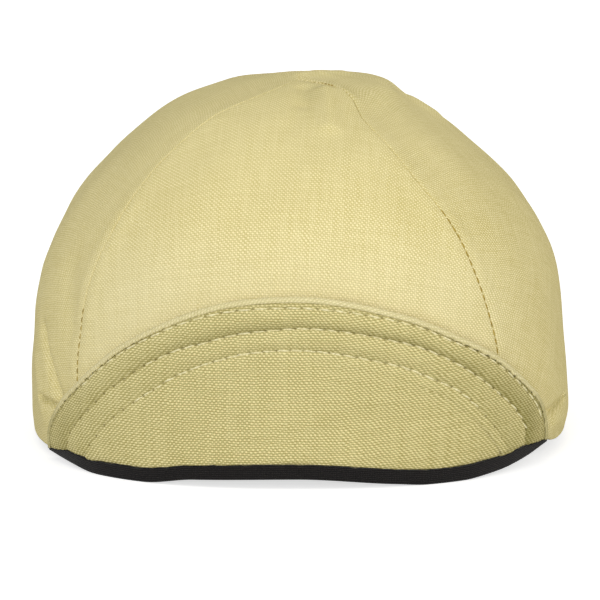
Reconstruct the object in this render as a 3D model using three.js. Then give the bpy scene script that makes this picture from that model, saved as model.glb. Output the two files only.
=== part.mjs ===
// A four panel cap with its short peak turned up against the front.
// Millimetres, +Z up. The front looks along -Y. Azimuth is the direction round the cap, in degrees:
// 0 at the middle of the front, positive towards +X.
import * as THREE from 'three';

// Crown
const HALF_WIDTH = 87.3;
const HALF_LENGTH = 101;
const PLAN_POWER = 2.3;
const APEX_SHIFT = { x: 2, y: -5 };
const SIDE_LIFT = 2.5;
const HEM_REACH = 30;
const APEX_HOLE_SHARE = 0.996;
const APEX_HOLE_RADIUS = 1;
const NORMAL_STEP = 0.001;
const BACK_SEAMS = { right: 136, left: -137 };

// Cloth and the gaps between its pieces
const CROWN_CLOTH = 1.2;
const PEAK_CLOTH = 1.1;
const GAP = 0.3;
const PANEL_ROWS = 17;
const PANEL_COLUMNS = 16;

// Levels of the crown from its lower edge to its top: the height, the share of the half width reached
// at the left and right, the share of the half length reached at the front and back, how flat each
// panel is between its seams, and the azimuth of the two front seams
const LEVELS = namedColumns('height left right front back flat seamLeft seamRight', [
  [0, 0.98, 0.984, 0.975, 0.975, 0, -46, 40.5],
  [8, 0.989, 1.001, 0.978, 0.985, 0, -46, 40],
  [22, 0.991, 0.991, 0.976, 0.993, 0.01, -46, 39.5],
  [38, 0.99, 0.981, 0.968, 0.99, 0.03, -45.5, 38.7],
  [52, 0.966, 0.966, 0.95, 0.97, 0.06, -45, 37.3],
  [65, 0.914, 0.92, 0.913, 0.925, 0.1, -44.5, 35],
  [77, 0.845, 0.835, 0.85, 0.855, 0.14, -43.5, 32.5],
  [88, 0.742, 0.709, 0.755, 0.752, 0.18, -42, 30],
  [98, 0.62, 0.572, 0.63, 0.62, 0.22, -40, 29],
  [106, 0.49, 0.43, 0.48, 0.46, 0.26, -38, 30.5],
  [112, 0.28, 0.35, 0.3, 0.285, 0.3, -36, 35],
  [115.2, 0, 0, 0, 0, 0.34, -38, 42],
]);

// Height of the lower edge round the cap: it rests at the back and at the two front bends
const LOWER_EDGE = namedColumns('azimuth height', [
  [-180, 0], [-140, 0], [-112, 1.6], [-90, 3.4], [-70, 2.6], [-58, 2.4], [-50, 2.9], [-46, 2.2],
  [-42, 1.3], [-38, 0.3], [-35, 0], [-28, 0], [-18.5, 2], [0, 2.9], [17, 0.8], [23, 0], [30, 0],
  [35, 1.1], [42, 2.7], [46, 4.1], [50, 5], [56, 4.9], [66, 3.9], [80, 3.5], [90, 3.4], [112, 1.6],
  [140, 0], [180, 0],
]);

// The soft hollow in the crown's right shoulder
const DENT = { azimuth: 33, share: 0.84, depth: 2.4, halfAngle: 17, halfShare: 0.09 };
const CROWN_HEART = new THREE.Vector3(0, 0, 30);

// Sweatband: a leg up the inside of the crown and a foot that turns out under the front as a strip
const BAND = { thick: 1.5, tall: 30, inset: 1.8, lean: 0.04, foot: 1.4, lift: 0.4, chamfer: 0.6 };
const STRIP_THICK = 1.4;
const STRIP_OUT = 3;
const TUCKED = { out: -1.62, thick: 0.1, height: 1.3 };
const OVER_STRIP = 2.6;
const STRIP_LEAST = 1.9;
const BAND_SECTIONS = 120;
const STRIP = namedColumns('azimuth height', [
  [-56, 1.9], [-50, 1.9], [-45, 3.2], [-38, 4], [-32, 4.7], [-24, 4.4], [0, 4.6], [25, 4.4],
  [36, 4], [44, 3.2], [50, 1.9], [56, 1.9],
]);
// Azimuths between which the strip draws in under the crown, and the crown comes down past it
const STRIP_ENDS = { left: [-60, -57], right: [57, 60] };
const CROWN_ENDS = { left: [-64, -58.2], right: [59.7, 66] };

// Peak: it stands up from the strip, lies on the crown's belly and leans away above it
const PEAK_CLEAR = 0.5;
const PEAK_LEAN = 0.03;
const BELLY_HEIGHT = 24;
const LIP = 1.6;
const LIP_GAP = 0.5;
const FOOT_INSET = 0.8;
const PEAK_RIBS = 42;
const PEAK_ROWS = 8;
const MM_PER_DEGREE = 1.6;
const CORNERS = { left: -55, right: 54.2 };
// Outer edge of the peak between its two corners
const PEAK_EDGE = namedColumns('azimuth height', [
  [-54.2, 9.5], [-51.6, 15.6], [-47.7, 21.7], [-42.6, 28.6], [-37.2, 35.8], [-32, 42.2], [-26, 47.9],
  [-19.5, 53.2], [-12, 57.5], [-4, 59.3], [4, 58.7], [12, 55.9], [20, 51.5], [27.5, 45.3], [35, 38.2],
  [41, 31.2], [46, 24], [50, 16.8], [52.4, 10.4],
]);

// Cloth colours
const COLOURS = { front: 0xe7dba5, side: 0xcec289, peak: 0xc9be82, band: 0x232122 };
const CLOTH_ROUGHNESS = 0.95;

// A table as one list for each named column
function namedColumns(names, rows) {
  const columns = names.split(' ');
  return Object.fromEntries(columns.map((name, c) => [name, rows.map((row) => row[c])]));
}

// A smooth curve through the values that never swings past them
function follow(places, values, place) {
  const last = places.length - 1;
  const at = THREE.MathUtils.clamp(place, places[0], places[last]);
  let i = 0;
  while (i < last - 1 && at > places[i + 1]) i += 1;
  const slope = (k) => (values[k + 1] - values[k]) / (places[k + 1] - places[k]);
  const tangent = (k) => {
    if (k === 0) return slope(0);
    if (k === last) return slope(last - 1);
    const turn = slope(k - 1) * slope(k);
    return turn <= 0 ? 0 : (2 * turn) / (slope(k - 1) + slope(k));
  };
  const step = places[i + 1] - places[i];
  const t = (at - places[i]) / step;
  const rise = values[i + 1] - values[i];
  const start = tangent(i) * step;
  const end = tangent(i + 1) * step;
  return values[i] + t * (start + t * (3 * rise - 2 * start - end + t * (start + end - 2 * rise)));
}

// A column of the crown's levels at a share of the way from the lower edge to the top
const ROW_NUMBERS = LEVELS.height.map((_, row) => row);
function atLevel(column, share) {
  return follow(ROW_NUMBERS, LEVELS[column], share * (ROW_NUMBERS.length - 1));
}

// The share of the way up at which the crown reaches a height above its lower edge
function shareAtHeight(height) {
  return follow(LEVELS.height, ROW_NUMBERS, height) / (ROW_NUMBERS.length - 1);
}

function wrapped(azimuth) {
  return THREE.MathUtils.euclideanModulo(azimuth + 180, 360) - 180;
}

function lowerEdge(azimuth) {
  return follow(LOWER_EDGE.azimuth, LOWER_EDGE.height, wrapped(azimuth));
}

// 1 between the two windows of azimuth, 0 outside them, with smooth ends
function between(windows, azimuth) {
  const a = wrapped(azimuth);
  const left = THREE.MathUtils.smoothstep(a, windows.left[0], windows.left[1]);
  return left * (1 - THREE.MathUtils.smoothstep(a, windows.right[0], windows.right[1]));
}

// Point of the crown's oval at an azimuth and level, before seams and dents, with z from its level
function oval(azimuth, share) {
  const phi = THREE.MathUtils.degToRad(azimuth);
  const sine = Math.sin(phi);
  const cosine = Math.cos(phi);
  const wide = Math.abs(sine / HALF_WIDTH) ** PLAN_POWER;
  const long = Math.abs(cosine / HALF_LENGTH) ** PLAN_POWER;
  const plan = (wide + long) ** (-1 / PLAN_POWER);
  const sideways = atLevel(sine < 0 ? 'left' : 'right', share);
  const lengthways = atLevel(cosine > 0 ? 'front' : 'back', share);
  const reach = plan * (sideways * sine ** 2 + lengthways * cosine ** 2);
  const height = atLevel('height', share);
  const shift = (height / LEVELS.height.at(-1)) ** 2;
  return new THREE.Vector3(
    APEX_SHIFT.x * shift + reach * sine, APEX_SHIFT.y * shift - reach * cosine, SIDE_LIFT + height);
}

// The crown's point at an azimuth and level, with the lowest levels drawn to its lower edge there
function crownPoint(azimuth, share) {
  const height = atLevel('height', share);
  const fade = Math.max(0, 1 - height / HEM_REACH) ** 2;
  const hem = lowerEdge(azimuth) + OVER_STRIP * between(CROWN_ENDS, azimuth) - SIDE_LIFT;
  const drawn = height + hem * fade;
  const point = oval(azimuth, fade > 0 ? shareAtHeight(drawn) : share);
  point.z = SIDE_LIFT + drawn;
  return point;
}

// Outward direction of the crown at an azimuth and level, the same for both panels of a seam
function crownNormal(azimuth, share) {
  const small = NORMAL_STEP;
  const round = oval(azimuth + small, share).sub(oval(azimuth - small, share));
  const up = oval(azimuth, Math.min(APEX_HOLE_SHARE, share + small))
    .sub(oval(azimuth, Math.max(0, share - small)));
  return round.cross(up).normalize();
}

// The two azimuths of a panel's edges at a level, with half a gap taken off each
function panelEdges(seams, share) {
  const [from, to] = seams.map((seam) => seam(share));
  const radius = (azimuth) => Math.max(APEX_HOLE_RADIUS, Math.hypot(
    oval(azimuth, share).x - APEX_SHIFT.x, oval(azimuth, share).y - APEX_SHIFT.y));
  const halfGap = (azimuth) => THREE.MathUtils.radToDeg(GAP / 2 / radius(azimuth));
  return [from + halfGap(from), to - halfGap(to)];
}

// Outer point of a panel, a share of the way across and up: flattened towards the straight line
// between its seams and pushed in by the dent
function panelPoint(edges, across, share) {
  const azimuth = THREE.MathUtils.lerp(edges[0], edges[1], across);
  const point = crownPoint(azimuth, share);
  const span = THREE.MathUtils.degToRad(edges[1] - edges[0]);
  const part = Math.sin(across * span) / (Math.sin(across * span) + Math.sin((1 - across) * span));
  const chord = crownPoint(edges[0], share).lerp(crownPoint(edges[1], share), part);
  point.lerp(chord, atLevel('flat', share));
  const turn = (wrapped(azimuth) - DENT.azimuth) / DENT.halfAngle;
  const climb = (share - DENT.share) / DENT.halfShare;
  const depth = DENT.depth * Math.exp(-(turn ** 2) - climb ** 2);
  return point.addScaledVector(point.clone().sub(CROWN_HEART).normalize(), -depth);
}

// A closed shell between two grids of points with equal rows and columns. A corner of a quad is named
// by its side, 0 outside and 1 inside, and by its row and column.
function shell(outer, inner) {
  const top = outer.length - 1;
  const end = outer[0].length - 1;
  const positions = [...outer.flat(), ...inner.flat()].flatMap((p) => [p.x, p.y, p.z]);
  const triangles = [];
  const quad = (...corners) => {
    const [a, b, c, d] = corners.map(([side, i, j]) => (side * (top + 1) + i) * (end + 1) + j);
    triangles.push(a, b, c, a, c, d);
  };
  for (let i = 0; i < top; i += 1) {
    for (let j = 0; j < end; j += 1) {
      quad([0, i, j], [0, i, j + 1], [0, i + 1, j + 1], [0, i + 1, j]);
      quad([1, i, j + 1], [1, i, j], [1, i + 1, j], [1, i + 1, j + 1]);
    }
    quad([1, i, 0], [0, i, 0], [0, i + 1, 0], [1, i + 1, 0]);
    quad([0, i, end], [1, i, end], [1, i + 1, end], [0, i + 1, end]);
  }
  for (let j = 0; j < end; j += 1) {
    quad([1, 0, j], [1, 0, j + 1], [0, 0, j + 1], [0, 0, j]);
    quad([0, top, j], [0, top, j + 1], [1, top, j + 1], [1, top, j]);
  }
  return geometryOf(positions, triangles);
}

function geometryOf(positions, triangles) {
  const geometry = new THREE.BufferGeometry();
  geometry.setAttribute('position', new THREE.Float32BufferAttribute(positions, 3));
  geometry.setIndex(triangles);
  geometry.computeVertexNormals();
  return geometry;
}

// Evenly spaced shares from 0 to 1
function shares(count) {
  return Array.from({ length: count }, (_, i) => i / (count - 1));
}

// One sewn panel of the crown, as cloth between its two seams
function crownPanel(seams) {
  const outer = [];
  const inner = [];
  for (const up of shares(PANEL_ROWS)) {
    const share = up * APEX_HOLE_SHARE;
    const edges = panelEdges(seams, share);
    const across = shares(PANEL_COLUMNS);
    const row = across.map((part) => panelPoint(edges, part, share));
    outer.push(row);
    inner.push(row.map((point, column) => {
      const azimuth = THREE.MathUtils.lerp(edges[0], edges[1], across[column]);
      const inward = crownNormal(azimuth, share).multiplyScalar(-CROWN_CLOTH);
      // The lower rim is level, so that the cap can stand on it
      if (up === 0) inward.z = 0;
      return point.clone().add(inward);
    }));
  }
  return shell(outer, inner);
}

// Point a distance outside the crown's wall at a height; above the belly the wall goes straight up
function wallPoint(azimuth, height, out) {
  const share = shareAtHeight(THREE.MathUtils.clamp(height - SIDE_LIFT, 0, BELLY_HEIGHT));
  const point = oval(azimuth, share);
  const outward = crownNormal(azimuth, share);
  outward.z = 0;
  point.addScaledVector(outward.normalize(), out);
  point.z = height;
  return point;
}

// Height of the black strip's top edge above the lower edge
function stripHeight(azimuth) {
  return Math.max(STRIP_LEAST, follow(STRIP.azimuth, STRIP.height, wrapped(azimuth)));
}

// Line that the peak stands on, just above the strip
function peakFoot(azimuth) {
  return lowerEdge(azimuth) + stripHeight(azimuth) + GAP;
}

// Section of the sweatband at an azimuth: the leg inside the crown and the foot turned out below
function bandSection(azimuth) {
  const front = between(STRIP_ENDS, azimuth);
  const base = lowerEdge(azimuth) + BAND.lift * (1 - front);
  const out = THREE.MathUtils.lerp(TUCKED.out, STRIP_OUT, front);
  const thick = THREE.MathUtils.lerp(TUCKED.thick, STRIP_THICK, front);
  const height = THREE.MathUtils.lerp(TUCKED.height, stripHeight(azimuth), front);
  const legOut = -BAND.inset;
  const legIn = legOut - BAND.thick;
  const topOut = legOut - BAND.lean * BAND.tall;
  const corner = BAND.chamfer;
  const edge = THREE.MathUtils.lerp(TUCKED.thick / 2, corner, front);
  const points = [
    [legIn, base + corner],
    [legIn + corner, base],
    [out - edge, base],
    [out, base + edge],
    [out, base + height],
    [out - thick, base + height],
    [out - thick, base + BAND.foot],
    [legOut, base + BAND.foot],
    [topOut, base + BAND.tall],
    [topOut - BAND.thick, base + BAND.tall],
  ];
  return points.map(([reach, z]) => wallPoint(azimuth, z, reach));
}

// The sweatband as one closed ring of sections
function sweatband() {
  const step = 360 / BAND_SECTIONS;
  const sections = Array.from({ length: BAND_SECTIONS }, (_, i) => bandSection(i * step));
  const corners = sections[0].length;
  const positions = sections.flat().flatMap((p) => [p.x, p.y, p.z]);
  const triangles = [];
  for (let i = 0; i < BAND_SECTIONS; i += 1) {
    const next = (i + 1) % BAND_SECTIONS;
    for (let k = 0; k < corners; k += 1) {
      const after = (k + 1) % corners;
      const near = [i * corners + k, i * corners + after];
      const far = [next * corners + k, next * corners + after];
      triangles.push(near[0], far[0], far[1], near[0], far[1], near[1]);
    }
  }
  return geometryOf(positions, triangles);
}

// The peak's outer edge as a flat curve: x is the way round, y the height
function peakEdgeCurve() {
  const corner = (azimuth) => new THREE.Vector2(azimuth * MM_PER_DEGREE, peakFoot(azimuth));
  const middle = PEAK_EDGE.azimuth.map((azimuth, i) =>
    new THREE.Vector2(azimuth * MM_PER_DEGREE, PEAK_EDGE.height[i]));
  return new THREE.SplineCurve([corner(CORNERS.left), ...middle, corner(CORNERS.right)]);
}

// Ribs of the peak from its outer edge down to its foot, on the same flat plan. The first step is the
// lip, the rest is the field of the cloth.
function peakRibs() {
  const edge = peakEdgeCurve();
  const inset = LIP + FOOT_INSET;
  return shares(PEAK_RIBS).map((share) => {
    const rim = edge.getPointAt(share);
    const along = edge.getTangentAt(share);
    const field = new THREE.Vector2(along.y, -along.x).multiplyScalar(LIP).add(rim);
    const footAcross = THREE.MathUtils.lerp(
      CORNERS.left * MM_PER_DEGREE + inset, CORNERS.right * MM_PER_DEGREE - inset, share);
    const foot = new THREE.Vector2(footAcross, peakFoot(footAcross / MM_PER_DEGREE));
    field.y = Math.max(field.y, peakFoot(field.x / MM_PER_DEGREE));
    return { rim, field, foot };
  });
}

// Point of the peak's wall for a place on its flat plan, a distance outside the crown
function peakPoint(flat, out) {
  const azimuth = flat.x / MM_PER_DEGREE;
  const lean = PEAK_LEAN * Math.max(0, flat.y - peakFoot(azimuth));
  return wallPoint(azimuth, flat.y, PEAK_CLEAR + out + lean);
}

// Rows of flat points from the foot up to the lip
function fieldRows(ribs) {
  return shares(PEAK_ROWS).map((share) => ribs.map((rib) => rib.foot.clone().lerp(rib.field, share)));
}

// Upper cloth of the peak: it faces the crown, and its edge rolls forward over the under cloth
function peakUpper() {
  const ribs = peakRibs();
  const rows = fieldRows(ribs);
  const lipStart = ribs.map((rib) => rib.field.clone().lerp(rib.rim, LIP_GAP / LIP));
  const rim = ribs.map((rib) => rib.rim);
  const lipMiddle = lipStart.map((flat, i) => flat.clone().lerp(rim[i], 1 / 2));
  const face = 2 * PEAK_CLOTH + GAP;
  const outer = [
    ...rows.map((row) => row.map((flat) => peakPoint(flat, PEAK_CLOTH))),
    lipStart.map((flat) => peakPoint(flat, PEAK_CLOTH)),
    lipStart.map((flat) => peakPoint(flat, face)),
    rim.map((flat) => peakPoint(flat, face)),
  ];
  const inner = [
    ...rows.map((row) => row.map((flat) => peakPoint(flat, 0))),
    lipStart.map((flat) => peakPoint(flat, 0)),
    lipMiddle.map((flat) => peakPoint(flat, 0)),
    rim.map((flat) => peakPoint(flat, 0)),
  ];
  return shell(outer, inner);
}

// Under cloth of the peak, which faces the viewer inside the lip
function peakUnder() {
  const rows = fieldRows(peakRibs());
  const back = PEAK_CLOTH + GAP;
  return shell(
    rows.map((row) => row.map((flat) => peakPoint(flat, back + PEAK_CLOTH))),
    rows.map((row) => row.map((flat) => peakPoint(flat, back))));
}

// A named piece of matt cloth
function piece(name, geometry, color) {
  const material = new THREE.MeshStandardMaterial({ color, roughness: CLOTH_ROUGHNESS, metalness: 0 });
  const mesh = new THREE.Mesh(geometry, material);
  mesh.name = name;
  return mesh;
}

const seamFrontLeft = (share) => atLevel('seamLeft', share);
const seamFrontRight = (share) => atLevel('seamRight', share);
const seamBackRight = () => BACK_SEAMS.right;
const seamBackLeft = () => BACK_SEAMS.left;
const fullTurn = (seam) => (share) => seam(share) + 360;

const cap = new THREE.Group();
cap.add(piece('panel_front', crownPanel([seamFrontLeft, seamFrontRight]), COLOURS.front));
cap.add(piece('panel_right', crownPanel([seamFrontRight, seamBackRight]), COLOURS.side));
cap.add(piece('panel_back', crownPanel([seamBackRight, fullTurn(seamBackLeft)]), COLOURS.side));
cap.add(piece('panel_left', crownPanel([seamBackLeft, seamFrontLeft]), COLOURS.side));
cap.add(piece('peak_upper', peakUpper(), COLOURS.front));
cap.add(piece('peak_under', peakUnder(), COLOURS.peak));
cap.add(piece('sweatband', sweatband(), COLOURS.band));

// The cap's box is centred on the origin in X and Y, and it stands on Z 0
const box = new THREE.Box3().setFromObject(cap);
const middle = box.getCenter(new THREE.Vector3());
cap.position.set(-middle.x, -middle.y, -box.min.z);

export default cap;
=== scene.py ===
import math

import bpy
import numpy as np
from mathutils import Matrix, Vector


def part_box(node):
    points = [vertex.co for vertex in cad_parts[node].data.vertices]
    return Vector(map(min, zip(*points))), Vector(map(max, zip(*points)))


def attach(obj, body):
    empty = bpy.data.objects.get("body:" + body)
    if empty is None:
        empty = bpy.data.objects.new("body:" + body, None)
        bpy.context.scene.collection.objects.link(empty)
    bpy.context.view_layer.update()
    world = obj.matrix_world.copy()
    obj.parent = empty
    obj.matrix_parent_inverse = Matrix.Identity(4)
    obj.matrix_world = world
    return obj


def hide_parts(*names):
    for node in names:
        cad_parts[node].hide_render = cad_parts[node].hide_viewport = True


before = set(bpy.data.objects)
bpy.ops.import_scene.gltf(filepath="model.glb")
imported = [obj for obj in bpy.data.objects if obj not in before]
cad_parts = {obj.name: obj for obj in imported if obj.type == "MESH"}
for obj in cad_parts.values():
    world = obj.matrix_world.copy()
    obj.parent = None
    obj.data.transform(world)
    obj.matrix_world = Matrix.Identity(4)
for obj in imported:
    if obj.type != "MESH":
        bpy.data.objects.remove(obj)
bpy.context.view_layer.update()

# Shapes are worked out in millimetres, as in the part's source: +Z up, the front looks along -Y.
# Azimuth is the direction round the cap in degrees, 0 at the middle of the front, positive towards +X.
MM = 0.001
SEED = 11


def named_columns(names, rows):
    """Table rows as one array for each named column."""
    return dict(zip(names.split(), np.array(rows, float).T))


# Crown: an oval in plan, a little off centre at its top. Its levels start a side lift above the floor,
# and those below the hem's reach are drawn down or up to the lower edge.
HALF_WIDTH = 87.3
HALF_LENGTH = 101
PLAN_POWER = 2.3
APEX_SHIFT = (2, -5)
SIDE_LIFT = 2.5
HEM_REACH = 30
# Step in degrees and in share that a normal is taken over, and the highest share that it reaches
NORMAL_STEP = 0.001
TOP_NORMAL = 0.996
BACK_SEAMS = {"right": 136, "left": -137}

# Levels of the crown from its lower edge to its top: the height, the share of the half width reached
# at the left and right, the share of the half length reached at the front and back, and how flat each
# panel is between its seams
LEVELS = named_columns("height left right front back flat", [
    [0, 0.98, 0.984, 0.975, 0.975, 0],
    [8, 0.989, 1.001, 0.978, 0.985, 0],
    [22, 0.991, 0.991, 0.976, 0.993, 0.01],
    [38, 0.99, 0.981, 0.968, 0.99, 0.03],
    [52, 0.966, 0.966, 0.95, 0.97, 0.06],
    [65, 0.914, 0.92, 0.913, 0.925, 0.1],
    [77, 0.845, 0.835, 0.85, 0.855, 0.14],
    [88, 0.742, 0.709, 0.755, 0.752, 0.18],
    [98, 0.62, 0.572, 0.63, 0.62, 0.22],
    [106, 0.49, 0.43, 0.48, 0.46, 0.26],
    [112, 0.28, 0.35, 0.3, 0.285, 0.3],
    [115.2, 0, 0, 0, 0, 0.34],
])
ROW_NUMBERS = np.arange(len(LEVELS["height"]), dtype=float)

# The two front seams as the photo shows them: their azimuths by the share of the way up. They meet
# where the front panel ends, a little in front of the top, and run on from there as one seam.
FRONT_TOP = 0.964
SEAM_RIGHT = named_columns("share azimuth", [
    [0, 40.5], [0.09, 40], [0.18, 39.7], [0.253, 39.3], [0.322, 37.7], [0.389, 35.9], [0.457, 34.2],
    [0.521, 32.6], [0.562, 31.1], [0.628, 28.4], [0.687, 26.2], [0.741, 24.4], [0.781, 23],
    [0.811, 22.6], [0.854, 23.6], [0.886, 24.4], [0.906, 24], [0.927, 22.3], [0.942, 16.5],
    [0.949, 8], [FRONT_TOP, -8.6], [1, -14],
])
SEAM_LEFT = named_columns("share azimuth", [
    [0, -46], [0.18, -46], [0.273, -45.6], [0.38, -44.6], [0.444, -43.7], [0.489, -42.5], [0.57, -41.2],
    [0.612, -40.3], [0.671, -39.2], [0.709, -38], [0.761, -36.2], [0.819, -33.2], [0.855, -29.4],
    [0.887, -24.6], [0.925, -18], [FRONT_TOP, -8.6], [1, -14],
])

# Height of the lower edge round the cap
LOWER_EDGE = named_columns("azimuth height", [
    [-180, 0], [-140, 0], [-112, 1.6], [-90, 3.4], [-70, 2.7], [-60, 2.8], [-57, 2.9], [-54, 2.5],
    [-50, 1.95], [-46, 1.25], [-43, 0.6], [-40.5, 0.15], [-38, 0], [-35, 0], [-28, 0], [-18.5, 2],
    [0, 2.9], [17, 0.8], [23, 0], [30, 0.1], [35, 0.87], [40, 1.8], [44, 2.85], [48, 4], [52, 5.3],
    [55, 6.1], [57.5, 5.9], [61, 4.7], [66, 3.9], [80, 3.5], [90, 3.4], [112, 1.6], [140, 0], [180, 0],
])

# The soft hollow in the crown's right shoulder
DENT = {"azimuth": 33, "share": 0.84, "depth": 1.3, "half_angle": 17, "half_share": 0.11}
CROWN_HEART = np.array([0, 0, 30.0])

# Band: a leg inside the crown and a foot turned out below it. In front the foot stands up as the
# strip, which the crown's edge lies over; elsewhere it is tucked in under the crown.
BAND = {"thick": 1.5, "tall": 30, "inset": 1.8, "lean": 0.04, "foot": 1.4, "lift": 0.4}
BAND_SECTIONS = 540
# A rounded corner's points, and the most that it takes up of a side
CORNER_STEPS = 4
CORNER_MOST = 0.45
STRIP_THICK = 1.4
STRIP_OUT = 3
TUCKED = {"out": -1.62, "thick": 0.1, "height": 1.3}
OVER_STRIP = 2.6
STRIP_LEAST = 0.25
STRIP_LEAN = 0.05
STRIP = named_columns("azimuth height", [
    [-57.5, 0.25], [-56.5, 0.4], [-55, 1.05], [-52.5, 1.65], [-50.5, 2.4], [-48, 3.35], [-45, 3.65],
    [-42.7, 4.05], [-41, 3.65], [-38.5, 4.2], [-32, 4.4], [-24, 4.4], [0, 4.6], [25, 4.6], [33, 4.65],
    [38, 4.45], [42.3, 4.25], [45.1, 4.1], [46.6, 3.6], [48, 3.15], [50.5, 2.2], [52.2, 1.65],
    [54.1, 0.8], [55.2, 0.25],
])
# Azimuths between which the strip starts and ends, and between which the crown lies over it
STRIP_ENDS = (-58.6, -56.4, 54.4, 56.6)
CROWN_ENDS = (-58.6, -56.4, 54.4, 57.2)

# Peak: it stands up from the strip, clear of the crown's belly, and leans away above it. It gets
# thinner towards its sides, and its cloth a little darker towards the right. The belly line is the one
# that lengths round the cap are measured along.
PEAK_CLEAR = 0.5
PEAK_LEAN = 0.03
PEAK_THICK = 2.5
# Thinness between azimuths, and shade between lengths from the edge's middle
SIDE_THIN = {"share": 0.6, "from": 30, "to": 54}
SIDE_SHADE = {"tone": 0.18, "from": 10, "to": 60}
BELLY_HEIGHT = 24
BELLY_LINE = {"height": 22, "out": 2}
FOOT_GAP = 0.2
FOOT_JAG = {"heights": (0.08, 0.06), "turns": (3.9, 0.7, 2.3), "phase": 1}
CORNER_GAP = 0.3
MM_PER_DEGREE = 1.6
CORNERS = (-57, 54.8)
# The peak's outer edge between its two corners
PEAK_EDGE = named_columns("azimuth height", [
    [-56.1, 9.3], [-53.6, 14.9], [-49.4, 21.2], [-43.6, 28.2], [-37.4, 35.9], [-32, 42.2],
    [-26, 47.9], [-19.5, 53.2], [-12, 57.3], [-4, 59], [4, 58.7], [12, 56.1], [21.2, 51.1],
    [28.9, 44.9], [33.2, 41.4], [38.1, 36.7], [42.8, 31.3], [46.6, 27], [50.6, 22], [53, 17.2],
    [54.3, 11.2],
])
SPLINE_STEPS = 60
EDGE_POINTS = 1601


def cubic(here, rise, start, end, t):
    """Cubic step: from a value by a rise, with the slopes of its start and end, for t from 0 to 1."""
    return here + t * (start + t * (3 * rise - 2 * start - end + t * (start + end - 2 * rise)))


def follow(places, values, at):
    """Smooth curve through the values: a cubic on each step, with slopes that never swing past them."""
    slopes = np.diff(values) / np.diff(places)
    turn = slopes[:-1] * slopes[1:]
    total = np.where(turn > 0, slopes[:-1] + slopes[1:], 1)
    slope = np.concatenate([slopes[:1], np.where(turn > 0, 2 * turn / total, 0), slopes[-1:]])
    at = np.clip(at, places[0], places[-1])
    i = np.clip(np.searchsorted(places, at) - 1, 0, len(places) - 2)
    step = places[i + 1] - places[i]
    t = (at - places[i]) / step
    return cubic(values[i], values[i + 1] - values[i], slope[i] * step, slope[i + 1] * step, t)


def table(columns, name, at):
    """One named column of a table, followed smoothly along its first column."""
    return follow(next(iter(columns.values())), columns[name], at)


def level(column, share):
    """A column of the crown's levels at a share of the way from the lower edge to the top."""
    return follow(ROW_NUMBERS, LEVELS[column], share * ROW_NUMBERS[-1])


def share_at_height(height):
    return follow(LEVELS["height"], ROW_NUMBERS, height) / ROW_NUMBERS[-1]


def wrapped(azimuth):
    return (azimuth + 180) % 360 - 180


def smooth(value, low, high):
    """0 below low, 1 above high, and a smooth step between."""
    t = np.clip((value - low) / (high - low), 0, 1)
    return t * t * (3 - 2 * t)


def between(ends, azimuth):
    """1 between two windows of azimuth, 0 outside them, with smooth ends."""
    a = wrapped(azimuth)
    return smooth(a, ends[0], ends[1]) * (1 - smooth(a, ends[2], ends[3]))


def lower_edge(azimuth):
    return table(LOWER_EDGE, "height", wrapped(azimuth))


def crown_edge(azimuth):
    """The height of the crown's own edge, which lies over the strip in front."""
    return lower_edge(azimuth) + OVER_STRIP * between(CROWN_ENDS, azimuth)


def strip_height(azimuth):
    return np.maximum(STRIP_LEAST, table(STRIP, "height", wrapped(azimuth)))


def unit(vectors):
    return vectors / np.maximum(np.linalg.norm(vectors, axis=-1, keepdims=True), 1e-12)


def lengths_along(points):
    """Length along a line of points up to each of them."""
    return np.concatenate([[0], np.cumsum(np.linalg.norm(np.diff(points, axis=0), axis=-1))])


def added_up(lengths):
    """Sums along each row of lengths, starting from 0."""
    return np.concatenate([np.zeros((len(lengths), 1)), np.cumsum(lengths, 1)], 1)


def points_at(at, places, points):
    """Points of a line in between the ones that are given at some places."""
    return np.stack([np.interp(at, places, points[:, k]) for k in range(points.shape[1])], -1)


def oval(azimuth, share):
    """Crown oval: a superellipse in plan, scaled by the level's reach on each side, at its height."""
    phi = np.radians(azimuth)
    sine = np.sin(phi)
    cosine = np.cos(phi)
    wide, long = np.abs(sine / HALF_WIDTH), np.abs(cosine / HALF_LENGTH)
    plan = (wide ** PLAN_POWER + long ** PLAN_POWER) ** (-1 / PLAN_POWER)
    sideways = np.where(sine < 0, level("left", share), level("right", share))
    lengthways = np.where(cosine > 0, level("front", share), level("back", share))
    reach = plan * (sideways * sine ** 2 + lengthways * cosine ** 2)
    height = level("height", share)
    shift = (height / LEVELS["height"][-1]) ** 2
    x, y = APEX_SHIFT[0] * shift + reach * sine, APEX_SHIFT[1] * shift - reach * cosine
    return np.stack([x, y, SIDE_LIFT + height + 0 * x], -1)


def crown_point(azimuth, share):
    """The oval with its lowest levels drawn down or up to the lower edge, fading out above them."""
    height = level("height", share)
    fade = np.maximum(0, 1 - height / HEM_REACH) ** 2
    drawn = height + (crown_edge(azimuth) - SIDE_LIFT) * fade
    point = oval(azimuth, np.where(fade > 0, share_at_height(drawn), share))
    point[..., 2] = SIDE_LIFT + drawn
    return point


def crown_normal(azimuth, share):
    """Outward direction of the oval: the cross product of its steps round and up."""
    small = NORMAL_STEP
    above, below = np.minimum(TOP_NORMAL, share + small), np.maximum(0, share - small)
    around = oval(azimuth + small, share) - oval(azimuth - small, share)
    up = oval(azimuth, above) - oval(azimuth, below)
    return unit(np.cross(around, up))


def side_thin(azimuth):
    """How much thinner the peak and the strip lie towards the peak's two corners."""
    sideways = smooth(np.abs(wrapped(azimuth)), SIDE_THIN["from"], SIDE_THIN["to"])
    return 1 - (1 - SIDE_THIN["share"]) * sideways


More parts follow.
